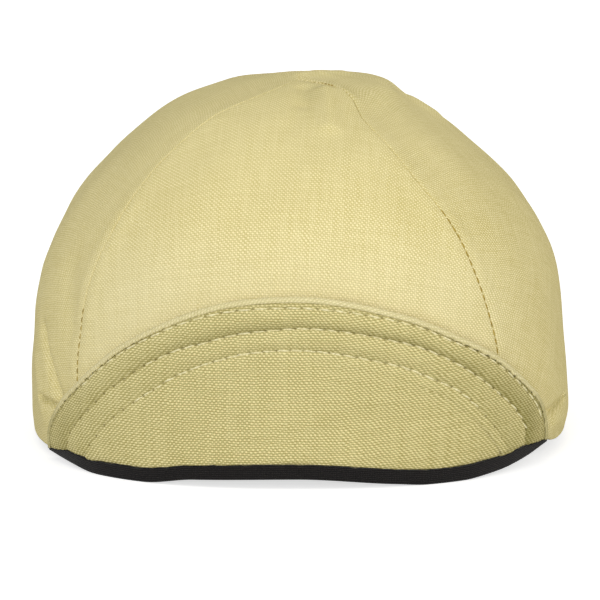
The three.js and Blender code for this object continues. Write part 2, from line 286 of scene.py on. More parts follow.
def wall_point(azimuth, height, out):
    """Point a distance outside the crown's wall at a height; above the belly the wall is upright."""
    share = share_at_height(np.clip(height - SIDE_LIFT, 0, BELLY_HEIGHT))
    outward = crown_normal(azimuth, share)
    outward[..., 2] = 0
    point = oval(azimuth, share) + unit(outward) * out[..., None]
    point[..., 2] = height
    return point


# Meshes


def grid_quads(rows, columns, wrap=False):
    """Corner numbers of a grid's quads, with the last column joined to the first where it wraps."""
    i = np.arange(rows - 1)[:, None]
    j = np.arange(columns if wrap else columns - 1)[None, :]
    after = (j + 1) % columns
    corners = [i * columns + j, i * columns + after, (i + 1) * columns + after, (i + 1) * columns + j]
    return np.stack([c.reshape(-1) for c in np.broadcast_arrays(*corners)], -1)


def shell(outer, inner):
    """Closed cloth between two grids of points: both faces, and a strip of quads round all four rims."""
    rows, columns = outer.shape[:2]
    count = rows * columns
    faces = grid_quads(rows, columns)
    index = np.arange(count).reshape(rows, columns)
    rims = []
    for line in (index[0], index[:, -1], index[-1, ::-1], index[::-1, 0]):
        rims.append(np.stack([line[1:], line[:-1], line[:-1] + count, line[1:] + count], -1))
    points = np.concatenate([outer.reshape(-1, 3), inner.reshape(-1, 3)])
    return points, np.concatenate([faces, faces[:, ::-1] + count, *rims])


def add_object(name, data):
    item = bpy.data.objects.new(name, data)
    bpy.context.scene.collection.objects.link(item)
    return item


def add_piece(name, points, faces, finish, replaces=None, layout=None, marks=None):
    """One mesh object from points in millimetres. Layout is its UV map, by point or by face corner, and
    marks a vector attribute."""
    mesh = bpy.data.meshes.new(name)
    placed = (points + SHIFT) * MM
    mesh.vertices.add(len(placed))
    mesh.vertices.foreach_set("co", placed.astype(np.float32).ravel())
    mesh.loops.add(faces.size)
    mesh.loops.foreach_set("vertex_index", faces.astype(np.int32).ravel())
    mesh.polygons.add(len(faces))
    mesh.polygons.foreach_set("loop_start", np.arange(0, faces.size, 4, dtype=np.int32))
    mesh.polygons.foreach_set("use_smooth", np.ones(len(faces), bool))
    if layout is not None:
        uv = mesh.uv_layers.new(name="cloth")
        corners = layout if len(layout) == faces.size else layout[faces.ravel()]
        uv.data.foreach_set("uv", (corners / UV_UNIT).astype(np.float32).ravel())
    if marks is not None:
        attribute = mesh.attributes.new("needle", "FLOAT_VECTOR", "POINT")
        attribute.data.foreach_set("vector", marks.astype(np.float32).ravel())
    mesh.update(calc_edges=True)
    mesh.validate()
    mesh.materials.append(finish)
    piece = add_object(name, mesh)
    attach(piece, "root")
    if replaces:
        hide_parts(replaces)


# One UV unit in millimetres, and places all round the cap
UV_UNIT = 100
ALL_ROUND = np.linspace(-180, 180, 1441)


def frame_shift():
    """How far the source's pattern was moved to centre its box, from the sides of its panels."""
    azimuth = ALL_ROUND[None, :]
    share = np.linspace(0, 0.3, 200)[:, None]
    crown = crown_point(azimuth, share)
    low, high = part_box("panel_left")[0].x / MM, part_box("panel_right")[1].x / MM
    x = (low + high) / 2 - (crown[..., 0].min() + crown[..., 0].max()) / 2
    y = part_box("panel_back")[1].y / MM - crown[..., 1].max()
    return np.array([x, y, 0])


SHIFT = frame_shift()


# Soft unevenness: how many waves make a ripple, the range of their lengths and what their sum is
# divided by, and for each piece the heights and wavelengths of its ripples, and their own seeds
RIPPLE_WAVES = 7
RIPPLE_RANGE = (0.6, 1.5)
RIPPLE_SUM = 3
UNEVEN = {
    "crown": [(0.28, 42, 0), (0.1, 17, 1)],
    "peak_face": [(0.12, 26, 5), (0.04, 7, 6)],
    "peak_back": [(0.12, 30, 8)],
    "strip": [(0.16, 5, 12), (0.1, 2.2, 13)],
}


def ripple(points, wavelength, seed):
    """Smooth unevenness between about -1 and 1: a sum of sine waves in seeded directions."""
    random = np.random.default_rng(seed)
    total = np.zeros(points.shape[:-1])
    for _ in range(RIPPLE_WAVES):
        way = unit(random.normal(size=3)) * (2 * math.pi / wavelength) * random.uniform(*RIPPLE_RANGE)
        total += np.sin(points @ way + random.uniform(0, 2 * math.pi))
    return total / RIPPLE_SUM


def uneven(points, piece):
    """The ripples of a piece, at points in space or on its flat plan."""
    if points.shape[-1] == 2:
        points = np.concatenate([points, 0 * points[..., :1]], -1)
    return sum(height * ripple(points, length, SEED + seed) for height, length, seed in UNEVEN[piece])


# Folds and pinches of the crown: from one place to another, each an azimuth and a share of the way up,
# with the half width and the height of the fold, and how much of it is a step instead of a ridge
FOLDS = named_columns("azimuth_a share_a azimuth_b share_b width rise step", [
    [-64, 0.265, -53.5, 0.155, 2.6, -1.8, 0],
    [-68, 0.2, -61, 0.12, 5, 0.9, 0],
    [-62.5, 0.142, -54.5, 0.132, 1.2, -1.7, 0.2],
    [-53.5, 0.4, -48.5, 0.29, 5.5, -0.9, 0],
    [56.5, 0.104, 72, 0.125, 1.4, -1.8, 0.3],
    [60, 0.08, 67, 0.09, 2.8, 0.7, 0],
    [60, 0.05, 72, 0.045, 4, 0.6, 0],
    [84, 0.92, 104, 0.89, 4.5, -1.5, 0],
    [94, 0.84, 92, 0.78, 5, 1.3, 0],
    [-3, 0.978, 112, 0.966, 3.4, 0.9, 0],
    [-6, 0.957, 22, 0.925, 1.5, -0.45, 0],
    [25, 0.922, 27, 0.885, 1.4, 0.4, 0],
    [13, 0.91, 9, 0.79, 3.5, 1.5, 0],
    [0, 0.925, -1, 0.87, 3.5, -1.2, 0],
    [7.3, 0.9, -4.6, 0.783, 3.5, -0.3, 0],
    [-100, 0.4, -78, 0.25, 9, -0.6, 0.2],
    [118, 0.42, 96, 0.28, 9, -0.6, 0.2],
    [150, 0.38, 172, 0.24, 10, 0.6, 0.3],
    [-160, 0.4, -176, 0.27, 10, -0.6, 0.2],
])
# Painted shade in the creases and hollows of the crown: lines as above, their half width, and how dark
SHADES = named_columns("azimuth_a share_a azimuth_b share_b width tone", [
    [57.5, 0.106, 74, 0.1255, 0.35, 1.2],
    [-62.5, 0.142, -55, 0.132, 0.9, 0.8],
    [32, 0.88, 46, 0.87, 9, 0.17],
    [7, 0.93, 3, 0.89, 3, 0.22],
])
# How much a distance off the surface counts beside one along it
OFF_SURFACE = 0.25
# Distance in millimetres that stands for no row of stitches nearby
NO_ROW = 2
# Folds fade out over the lowest millimetres
FOLDS_FROM = 8
# The crown's top: a dimple, and low puckers round it between radii
APEX_LEAST = 80
APEX_DIMPLE = {"depth": 0.3, "reach": 2.5}
APEX_PUCKERS = {"count": 13, "height": 0.06, "near": 6, "from": 8, "far": 26, "sway": 0.9, "twist": 7}
# Beside a seam the cloth lies over its folded edge: a low ridge, stronger where the seam is stitched
SEAM_PUCKERS = {"height": 0.34, "upper": 0.35, "length": 6.5, "reach": 5, "even": 0.65, "sway": 9}
# Shares of the way up between which the ridge starts, gets lower and ends
RIDGE_SHARES = {"start": (0, 0.08), "lower": (0.52, 0.62), "end": (0.85, 0.95)}


def off_line(points, lines, k):
    """From the nearest place on one of the lines to each point, in half widths along the surface."""
    ends = [crown_point(lines["azimuth_" + end][k], lines["share_" + end][k]) for end in "ab"]
    line = ends[1] - ends[0]
    along = np.clip((points - ends[0]) @ line / (line @ line), 0, 1)
    off = points - (ends[0] + along[..., None] * line)
    outward = unit(points - CROWN_HEART)
    off = off - outward * (off * outward).sum(-1, keepdims=True) * (1 - OFF_SURFACE)
    return off / lines["width"][k]


def plain_marks(tone):
    """Marks for cloth without stitches: no row nearby, and how much painted shade the cloth gets."""
    return np.stack([NO_ROW + 0 * tone, 0 * tone, tone], -1)


def crown_marks(points):
    """Marks for the crown's cloth, with painted shade in its creases and hollows."""
    tone = np.zeros(points.shape[:-1])
    for k in range(len(SHADES["tone"])):
        tone += SHADES["tone"][k] * np.exp(-(off_line(points, SHADES, k) ** 2).sum(-1))
    return plain_marks(tone)


def crown_relief(points):
    """Height of folds above the smooth crown: ridges or steps along lines, apex puckers, unevenness."""
    rise = uneven(points, "crown")
    for k in range(len(FOLDS["rise"])):
        off = off_line(points, FOLDS, k)
        side = np.clip(off[..., 2], -1, 1)
        shape = (1 - FOLDS["step"][k]) + FOLDS["step"][k] * 2 * side
        rise = rise + FOLDS["rise"][k] * shape * np.exp(-(off ** 2).sum(-1))
    flat = points[..., :2] - np.array(APEX_SHIFT)
    radius = np.hypot(flat[..., 0], flat[..., 1])
    turn = np.arctan2(flat[..., 0], -flat[..., 1])
    puckers = APEX_PUCKERS
    near = smooth(radius, 0, puckers["near"]) * (1 - smooth(radius, puckers["from"], puckers["far"]))
    top = points[..., 2] > APEX_LEAST
    sway = puckers["sway"] * np.sin(2 * turn + radius / puckers["twist"])
    waves = np.sin(puckers["count"] * turn + sway)
    rise = rise + top * near * puckers["height"] * waves
    return rise - top * APEX_DIMPLE["depth"] * np.exp(-(radius / APEX_DIMPLE["reach"]) ** 2)


def seam_ridge(distance, run, share):
    """Height of the low ridge beside a seam, from the distance to the seam and the length up it."""
    body = np.sin(math.pi * np.clip(distance / SEAM_PUCKERS["reach"], 0, 1))
    sway = 2 * np.sin(run / SEAM_PUCKERS["sway"])
    wave = np.sin(2 * math.pi * run / SEAM_PUCKERS["length"] + sway)
    wave = SEAM_PUCKERS["even"] + (1 - SEAM_PUCKERS["even"]) * wave
    lower = 1 - (1 - SEAM_PUCKERS["upper"]) * smooth(share, *RIDGE_SHARES["lower"])
    rise = SEAM_PUCKERS["height"] * body * wave * lower * smooth(share, *RIDGE_SHARES["start"])
    return rise * (1 - smooth(share, *RIDGE_SHARES["end"]))


def panel_azimuths(seams, across, share):
    """Azimuths of a panel's seams and of a place between them."""
    start, end = seams[0](share), seams[1](share)
    return start, end, start + (end - start) * across


def panel_normal(seams, across, share):
    return crown_normal(panel_azimuths(seams, across, share)[2], share)


def panel_surface(seams, across, share):
    """Outer face of a panel: the crown drawn towards the chord between its seams, with dent and folds."""
    start, end, azimuth = panel_azimuths(seams, across, share)
    span = np.radians(end - start)
    part = np.sin(across * span) / (np.sin(across * span) + np.sin((1 - across) * span))
    from_seam = crown_point(start, share)
    chord = from_seam + (crown_point(end, share) - from_seam) * part[..., None]
    flat = level("flat", share)[..., None]
    point = crown_point(azimuth, share) * (1 - flat) + chord * flat
    turn = (wrapped(azimuth) - DENT["azimuth"]) / DENT["half_angle"]
    climb = (share - DENT["share"]) / DENT["half_share"]
    depth = DENT["depth"] * np.exp(-turn ** 2 - climb ** 2)
    point = point - unit(point - CROWN_HEART) * depth[..., None]
    lift = crown_relief(point) * smooth(level("height", share), 0, FOLDS_FROM)
    return point + crown_normal(azimuth, share) * lift[..., None]


# Cloth of the crown: its thickness, half the gap at a seam, the radius of the turned edge, the slack
# between a panel and the seam allowance folded back under it, and how wide the allowance is
CLOTH = 0.45
SEAM_HALF_GAP = 0.03
SEAM_ROLL = 0.55
ALLOWANCE_SLACK = 0.1
ALLOWANCE = 7
ALLOWANCE_STEPS = 6
HEM_ROLL = 0.9
ROLL_STEPS = 6
TOP_SHARE = 0.9994
# Width of a panel below which its seams' sections shrink with it, towards the top
FULL_WIDTH = 24
# Rows of a panel: close at both ends, and evenly spaced between them
TOP_ROWS = {"length": 24, "step": 0.4}
LOW_ROWS = {"length": 34, "step": 0.6}
MIDDLE_ROWS = 84
DENSE_ROWS = 900
# The middle line of a panel keeps between these shares of the way across it
MIDDLE_LIMITS = (0.3, 0.7)
# Share of the way across a panel over which its width is measured at a seam
ACROSS_STEP = 1e-4
# Length along the cloth of the first and last row in the hem's turn
HEM_RUN = (-1.4, -0.2)
# How the rows of a panel laid flat are bent: at least this much, and smoothly between a few knots
LEAST_BEND = 0.18
BEND_KNOTS = 9


def seam_section():
    """Half a seam's section in two faces: distance from the seam line and depth, from the allowance's
    raw edge, round its fold, up the seam and over the turned edge on to the panel."""
    turn = np.linspace(0, math.pi / 2, ROLL_STEPS)
    fold_at = SEAM_HALF_GAP + CLOTH + ALLOWANCE_SLACK
    faces = []
    for radius, fold in ((SEAM_ROLL, ALLOWANCE_SLACK + CLOTH), (SEAM_ROLL - CLOTH, ALLOWANCE_SLACK)):
        over = [SEAM_HALF_GAP + SEAM_ROLL - radius * np.sin(turn), SEAM_ROLL - radius * np.cos(turn)]
        under = np.stack([fold_at - fold * np.cos(turn), SEAM_ROLL + fold * np.sin(turn)], -1)
        flat = np.linspace(ALLOWANCE, under[-1, 0] + 0.5, ALLOWANCE_STEPS)
        flat = np.stack([flat, np.full(ALLOWANCE_STEPS, under[-1, 1])], -1)
        faces.append(np.concatenate([flat, under[::-1], np.stack(over, -1)[::-1][1:]]))
    return faces


def middle_across(seams, centre, share):
    """Where the line straight up a panel at its centre's azimuth lies between the panel's seams."""
    start, end = seams[0](share), seams[1](share)
    return np.clip((centre - start) / np.maximum(end - start, 0.01), *MIDDLE_LIMITS)


def laid_flat(u, v, share, seams, grain):
    """UV of a panel laid flat, so that its threads run straight: each row becomes an arc, bent as the
    cone that touches the crown there is bent when it is rolled out, and then the grain is turned."""
    middle = (seams[0](share) + seams[1](share)) / 2
    across = oval(middle, share) - oval(middle + 180, share)
    radius = np.linalg.norm(across, axis=-1) / 2
    knots = np.linspace(0, v[-1, 0], BEND_KNOTS)
    narrowing = -np.diff(np.interp(knots, v[:, 0], radius[:, 0])) / np.diff(knots)
    bend = (LEAST_BEND + np.interp(v[:, :1], (knots[1:] + knots[:-1]) / 2, narrowing)) / radius
    turn = u * bend
    x = np.sin(turn) / bend
    y = v + (1 - np.cos(turn)) / bend
    a = math.radians(grain)
    return np.stack([x * math.cos(a) - y * math.sin(a), y * math.cos(a) + x * math.sin(a)], -1)


def panel_rows(seams, centre, top):
    """Rows of a panel: the length up its middle to each, and the share of the way up."""
    dense = np.linspace(share_at_height(HEM_ROLL), top, DENSE_ROWS)[:, None]
    run = lengths_along(panel_surface(seams, middle_across(seams, centre, dense), dense)[:, 0])
    turning = run[-1] - TOP_ROWS["length"]
    near_top = np.linspace(turning, run[-1], round(TOP_ROWS["length"] / TOP_ROWS["step"]) + 1)
    low = np.arange(0, LOW_ROWS["length"], LOW_ROWS["step"])
    rows = np.concatenate([low, np.linspace(LOW_ROWS["length"], turning, MIDDLE_ROWS)[:-1], near_top])
    return rows, np.interp(rows, run, dense[:, 0])[:, None]


def turned_side(seams, share, first, rate, scale):
    """A panel's side at one seam, in two faces: the seam's section, carried along the seam. First is
    the seam's place across the panel, and rate how many millimetres one panel's width is there."""
    faces = []
    for section in seam_section():
        place = section[None] * scale[..., None]
        across = first + (1 - 2 * first) * place[..., 0] / rate
        normal = panel_normal(seams, across, share)
        faces.append(panel_surface(seams, across, share) - normal * place[..., 1:])
    return faces


def panel_face(seams, share, rows, columns, starts, ends, scale):
    """The open face of a panel between its seams' turned edges, and its back a cloth's thickness in."""
    even = np.linspace(0, 1, columns)[None, :]
    across = starts[0] + (1 - starts[0] - starts[1]) * even
    face = panel_surface(seams, across, share)
    normal = panel_normal(seams, across, share)
    for seam in ends:
        distance = np.linalg.norm(face - seam[:, None], axis=-1) - (SEAM_HALF_GAP + SEAM_ROLL) * scale
        face = face + normal * (seam_ridge(distance, rows[:, None], share) * scale)[..., None]
    return face, face - normal * (CLOTH * scale)[..., None]


def panel_layout(outer, seams, share, rows, columns, centre, grain):
    """UV of a panel: the length along each row from the panel's middle, and the length up it."""
    u = added_up(np.linalg.norm(np.diff(outer, axis=1), axis=-1))
    share = np.concatenate([np.repeat(share[:1], ROLL_STEPS - 1, 0), share])
    turned = (u.shape[1] - columns) // 2
    at = turned + middle_across(seams, centre, share)[:, 0] * (columns - 1)
    middle = [np.interp(place, np.arange(u.shape[1]), row) for place, row in zip(at, u)]
    u = u - np.array(middle)[:, None]
    v = np.concatenate([np.linspace(*HEM_RUN, ROLL_STEPS - 1), rows])[:, None] + 0 * u
    return laid_flat(u, v, share, seams, grain)


def crown_panel(seams, columns, centre, top, grain):
    """One sewn panel: its face runs between the seams in columns of azimuth and rows of even length up
    the middle, and its sides turn in at the seams and lie back under it."""
    rows, share = panel_rows(seams, centre, top)
    across_ends = np.array([[0, ACROSS_STEP, 1 - ACROSS_STEP, 1]])
    ends = panel_surface(seams, np.repeat(across_ends, len(share), 0), share)
    scale = np.minimum(1, np.linalg.norm(ends[:, 3] - ends[:, 0], axis=-1)[:, None] / FULL_WIDTH)
    sides = []
    starts = []
    for seam, near, first in ((0, 1, 0), (3, 2, 1)):
        step = np.linalg.norm(ends[:, near] - ends[:, seam], axis=-1)
        rate = np.maximum(step, 1e-9)[:, None] / ACROSS_STEP
        starts.append((SEAM_HALF_GAP + SEAM_ROLL) * scale / rate)
        sides.append(turned_side(seams, share, first, rate, scale))
    faces = panel_face(seams, share, rows, columns, starts, (ends[:, 0], ends[:, 3]), scale)
    joined = [
        np.concatenate([left, face[:, 1:-1], right[:, ::-1]], 1)
        for left, face, right in zip(sides[0], faces, sides[1])
    ]
    # How far each column lies in the hem's turn: all of it on the face, none on the allowances
    turned = joined[0].shape[1] - columns + 2
    ramp = np.concatenate([np.zeros(turned // 2 - ROLL_STEPS), np.linspace(0, 1, ROLL_STEPS)])
    outer, inner = with_hem(*joined, np.concatenate([ramp, np.ones(columns - 2), ramp[::-1]]))
    layout = panel_layout(outer, seams, share, rows, columns, centre, grain)
    return {"outer": outer, "inner": inner, "layout": layout, "marks": crown_marks(outer)}


def with_hem(outer, inner, share_in_hem):
    """Adds rows below the first that turn the lower edge inward on a quarter circle."""
    x, y = outer[0, :, 0], outer[0, :, 1]
    azimuth = np.degrees(np.arctan2(x, -y))
    drop = outer[0, :, 2] - crown_edge(azimuth)
    inward = -crown_normal(azimuth, np.zeros_like(azimuth))
    inward[:, 2] = 0
    inward = unit(inward) * share_in_hem[:, None]
    rolled = []
    for face, thick in ((outer, 0), (inner, CLOTH)):
        rows = []
        for turn in np.linspace(math.pi / 2, 0, ROLL_STEPS)[:-1]:
            row = outer[0] + (inner[0] - outer[0]) * (thick / CLOTH)
            row = row + inward * (HEM_ROLL - thick) * (1 - math.cos(turn))
            row[:, 2] = outer[0, :, 2] - (drop - thick) * math.sin(turn)
            rows.append(row)
        rolled.append(np.concatenate([np.stack(rows), face]))
    return rolled


# Azimuths of the seams at a share of the way up; the last is the back left seam a whole turn on
SEAMS = {
    "front_left": lambda share: table(SEAM_LEFT, "azimuth", share),
    "front_right": lambda share: table(SEAM_RIGHT, "azimuth", share),
    "back_right": lambda share: BACK_SEAMS["right"] + 0 * share,
    "back_left": lambda share: BACK_SEAMS["left"] + 0 * share,
    "back_left_again": lambda share: BACK_SEAMS["left"] + 360 + 0 * share,
}

# Peak


def jagged(along, heights, turns, phase):
    """Unevenness of a cloth's end from thread to thread: two sines of the length along it."""
    first = heights[0] * np.sin(along * turns[0] + 2 * np.sin(along * turns[1]))
    return first + heights[1] * np.sin(along * turns[2] + phase)


def peak_foot(azimuth):
    """Line on top of the strip, where the peak's cloth ends."""
    jag = jagged(azimuth * MM_PER_DEGREE, **FOOT_JAG)
    return lower_edge(azimuth) + strip_height(azimuth) + FOOT_GAP + jag


def above_foot(flat):
    """How far places on the peak's flat plan are above its foot."""
    return flat[..., 1] - peak_foot(flat[..., 0] / MM_PER_DEGREE)


def peak_edge():
    """The peak's outer edge as a spline through its table on the flat plan, at evenly spaced places:
    the points, the directions into the cloth, and the length."""
    middle = np.stack([PEAK_EDGE["azimuth"] * MM_PER_DEGREE, PEAK_EDGE["height"]], -1)
    corners = np.array(CORNERS, float)
    height = lower_edge(corners) + strip_height(corners) + CORNER_GAP
    corner = np.stack([corners * MM_PER_DEGREE, height], -1)
    points = np.concatenate([corner[:1], middle, corner[1:]])
    last = len(points) - 1
    t = np.linspace(0, last, SPLINE_STEPS * last + 1)
    i = np.minimum(t.astype(int), last - 1)
    before, here, after, beyond = (points[np.clip(i + k, 0, last)] for k in (-1, 0, 1, 2))
    curve = cubic(here, after - here, (after - before) / 2, (beyond - here) / 2, (t - i)[:, None])
    run = lengths_along(curve)
    edge = points_at(np.linspace(0, run[-1], EDGE_POINTS), run, curve)
    tangent = unit(np.gradient(edge, axis=0))
    return edge, np.stack([tangent[:, 1], -tangent[:, 0]], -1), run[-1]


EDGE, EDGE_IN, EDGE_LENGTH = peak_edge()
EDGE_SHARES = np.linspace(0, 1, len(EDGE))

# Rows of stitching on the peak by the share of the way along its edge: how far in from the edge
STITCH_ROWS = [named_columns("share inset", rows) for rows in (
    [
        [0, 4], [0.05, 3.4], [0.1, 2.7], [0.2, 2.4], [0.33, 2.3], [0.38, 2.5], [0.44, 3], [0.5, 3.3],
        [0.55, 3.3], [0.6, 2.8], [0.66, 2.3], [0.75, 2.3], [0.85, 2.5], [0.92, 3.3], [0.965, 4], [1, 4.2],
    ],
    [
        [0, 13.6], [0.06, 12.2], [0.08, 11], [0.11, 10.4], [0.15, 9.8], [0.2, 9.1], [0.24, 9.4],
        [0.29, 9], [0.32, 9], [0.38, 10.1], [0.47, 10], [0.51, 9.6], [0.56, 9.3], [0.6, 8.8],
        [0.64, 8.4], [0.68, 7.8], [0.72, 7.6], [0.78, 8.7], [0.82, 9.3], [0.86, 9.6], [0.9, 11],
        [0.93, 13], [0.97, 14.2], [1, 14.6],
    ],
    [
        [0, 23], [0.06, 21], [0.11, 19.3], [0.18, 16.7], [0.23, 16.7], [0.27, 16.6], [0.31, 15.9],
        [0.41, 16.3], [0.52, 16.3], [0.58, 16.1], [0.635, 15.6], [0.68, 15], [0.73, 14.9],
        [0.76, 15.1], [0.805, 16.6], [0.86, 19.1], [0.92, 23], [1, 25],
    ],
)]
# Along the edge: how deep each row pulls the cloth in, how high the cloth puffs between the rows, how
# much painted shade the cloth gets just above the second and the third row and along the rim, and how
# deep the ditch under the lip is and how much painted shade it gets
PINCH_NAMES = "share first second third puff_outer puff_inner dark_outer dark_inner dark_rim ditch"
PINCH = named_columns(PINCH_NAMES, [
    [0, 0.3, 0.3, 0, 0.1, 0.05, 0.8, 0.1, 0.3, 1.4],
    [0.06, 0.35, 0.45, 0.05, 0.7, 0.2, 0.8, 0.2, 0.25, 1.6],
    [0.13, 0.35, 0.45, 0.3, 1, 0.5, 0.6, 0.3, 0.1, 1.5],
    [0.2, 0.35, 0.45, 0.35, 1, 0.55, 0.5, 0.25, 0, 1.3],
    [0.28, 0.35, 0.45, 0.35, 1, 0.55, 0.7, 0.3, 0, 0.9],
    [0.45, 0.35, 0.45, 0.35, 0.95, 0.55, 1.1, 0.35, 0, 0.12],
    [0.54, 0.35, 0.45, 0.35, 0.85, 0.55, 0.9, 0.4, 0, 0.12],
    [0.62, 0.35, 0.5, 0.4, 1.1, 0.6, 1, 0.4, 0, 0.5],
    [0.7, 0.35, 0.5, 0.4, 1.1, 0.6, 0.9, 0.35, 0, 0.8],
    [0.78, 0.35, 0.5, 0.35, 0.95, 0.5, 0.9, 0.25, 0.1, 1.5],
    [0.86, 0.35, 0.45, 0.2, 0.85, 0.3, 1.1, 0.4, 0.35, 1.6],
    [0.93, 0.35, 0.4, 0.05, 0.6, 0.1, 1.3, 0.8, 0.5, 1.6],
    [1, 0.3, 0.3, 0, 0.1, 0.05, 1.1, 0.8, 0.5, 1.4],
])
ROW_PULLS = ("first", "second", "third")
# A row that pulls less than this isn't stitched, and the ditch is fully ragged where it is this dark
LEAST_PULL = 0.15
FULL_DITCH = 1.6
# Puffs between the rows, and how far each leans towards the lower row
PUFFS = [("puff_outer", 1.45), ("puff_inner", 1.25)]
# Pitch of the stitches, and how far a row's stitches are shifted against the row above, in stitches
STITCH_PITCH = 4.6
ROW_SHIFT = 0.37
# Rolled lip: its radius, how far in from the edge it ends, and the ditch there
LIP_RADIUS = 1.25
LIP_END = 1.8
DITCH_DEPTH = 0.45
DITCH_NOTCHES = 1.5
RAGGED_EDGE = 0.2
RAGGED = {"heights": (1, 0.6), "turns": (3.1, 0.9, 1.7), "phase": 2}
# Steps of the lip's half turn, and its rows in the ditch: how far in from the edge the outer and the
# inner face are there, and how deep
LIP_STEPS = 13
DITCH_ROWS = named_columns("outer inner drop", [
    [1.5, 1.35, 0.08], [1.7, 1.35, 0.3], [LIP_END, 1.3, 0.6], [LIP_END, 1.3, 1],
])
# Number of the lip's rows that lie flush with the back, and of those without waves or a ragged edge
LIP_ROWS = {"flush": 4, "smooth": 9, "even": 11}
LIP_WAVE = 0.06
# Shares of the edge between which the rim gets painted shade at its two ends
RIM_ENDS = (0.045, 0.11, 0.89, 0.955)
BACK_SET = 0.1
# Rows of the peak's face from its ditch to its foot, and of its back, how they spread in the field, and
# the distances in from the edge among which the field's depth is looked for
FACE_ROWS = {"rim": 7, "outer": 20, "inner": 18, "field": 34}
FACE_SPREAD = 1.35
BACK_ROWS = 30
BACK_SPREAD = 1.2
FIELD_SEARCH = (45, 60, 1501)
PEAK_GRAIN = {"stretch": 0.17, "stretch_from": 40, "climb": 0.08, "climb_from": 12}
PEAK_COLUMNS = 400
ROW_RECOVERY = 1.7
NOTCH = {"depth": 0.14, "width": 0.3, "full_pull": 0.3, "hole": 0.02, "between": 0.8}
# Painted shade and highlight on the peak: how unevenly the ditch's painted shade lies and how far it
# reaches, the painted highlight just below a row and how far it reaches, and how late the painted shade
# deepens towards the next row
PAINTED_PEAK_SHADE = {"notch": 0.8, "ditch_reach": 0.4, "light": -0.25, "light_reach": 1.1, "deepening": 1.6}
FOOT_DIP = {"depth": 0.55, "reach": 0.9}


def field_depth():
    """The greatest distance in from the edge at which the cloth still reaches above the foot."""
    depths = np.linspace(*FIELD_SEARCH)
    above = above_foot(EDGE + EDGE_IN * depths[:, None, None]).max(1)
    return depths[above > 0][-1]


FIELD_DEPTH = field_depth()


def row_inset(row, share):
    return table(STITCH_ROWS[row], "inset", share)


def stitches_along(share):
    """The number of stitches up to a share of the edge."""
    return share * EDGE_LENGTH / STITCH_PITCH


def stage_parts(stage):
    """The whole stage up to a stage, and the way from there to the next."""
    whole = int(min(3, math.floor(stage)))
    return whole, stage - whole


def inset_at(stage, share):
    """Distance in from the edge at a stage: 0 at the ditch under the lip, 1, 2 and 3 at the stitch
    rows, 4 at the foot's furthest point, and straight between them."""
    marks = [LIP_END + 0 * share, *(row_inset(row, share) for row in range(3)), FIELD_DEPTH + 0 * share]
    whole, way = stage_parts(stage)
    return marks[whole] + (marks[whole + 1] - marks[whole]) * way


def plan_row(inset):
    """One row of points on the flat plan that keeps a distance in from the edge and stops where it
    meets the foot: gives the points and their shares along the edge."""
    line = EDGE + EDGE_IN * inset[:, None]
    above = above_foot(line)
    first, last = np.flatnonzero(above > 0)[[0, -1]]
    start, end = first, last
    if first > 0:
        start = first - above[first] / (above[first] - above[first - 1])
    if last < len(line) - 1:
        end = last + above[last] / (above[last] - above[last + 1])
    at = np.linspace(start, end, PEAK_COLUMNS)
    return points_at(at, np.arange(len(line)), line), at / (len(line) - 1)


def peak_point(flat, out):
    """Point of the peak for a place on its flat plan, a distance in front of its back face."""
    azimuth = flat[..., 0] / MM_PER_DEGREE
    lean = PEAK_LEAN * np.maximum(0, above_foot(flat))
    return wall_point(azimuth, flat[..., 1], PEAK_CLEAR + out * side_thin(azimuth) + lean)


BELLY = wall_point(ALL_ROUND, BELLY_LINE["height"] + 0 * ALL_ROUND, BELLY_LINE["out"] + 0 * ALL_ROUND)
ARC_LENGTHS = lengths_along(BELLY)


def arc_length(azimuth):
    """Length round the cap at the belly, in millimetres from the middle of the front."""
    return np.interp(azimuth, ALL_ROUND, ARC_LENGTHS) - ARC_LENGTHS[len(ARC_LENGTHS) // 2]


def cloth_layout(flat):
    """UV of the peak's cloth: length round the cap and height, with the cloth stretched sideways
    towards both corners and its rows climbing to the right."""
    x = arc_length(flat[..., 0] / MM_PER_DEGREE)
    y = flat[..., 1] - PEAK_GRAIN["climb"] * np.maximum(0, x - PEAK_GRAIN["climb_from"])
    stretched = PEAK_GRAIN["stretch"] * np.maximum(0, np.abs(x) - PEAK_GRAIN["stretch_from"])
    return np.stack([x - np.sign(x) * stretched, y], -1)


def face_stages():
    """Stages of the rows on the peak's face, close together near the ditch and the stitch rows."""
    rim = np.linspace(0, 1, FACE_ROWS["rim"] + 1)[:-1]
    outer, inner = (
        (1 - np.cos(np.linspace(0, math.pi, FACE_ROWS[name] + 1)[:-1])) / 2 for name in ("outer", "inner")
    )
    field = np.linspace(0, 1, FACE_ROWS["field"]) ** FACE_SPREAD
    return np.concatenate([rim, 1 + outer, 2 + inner, 3 + field])


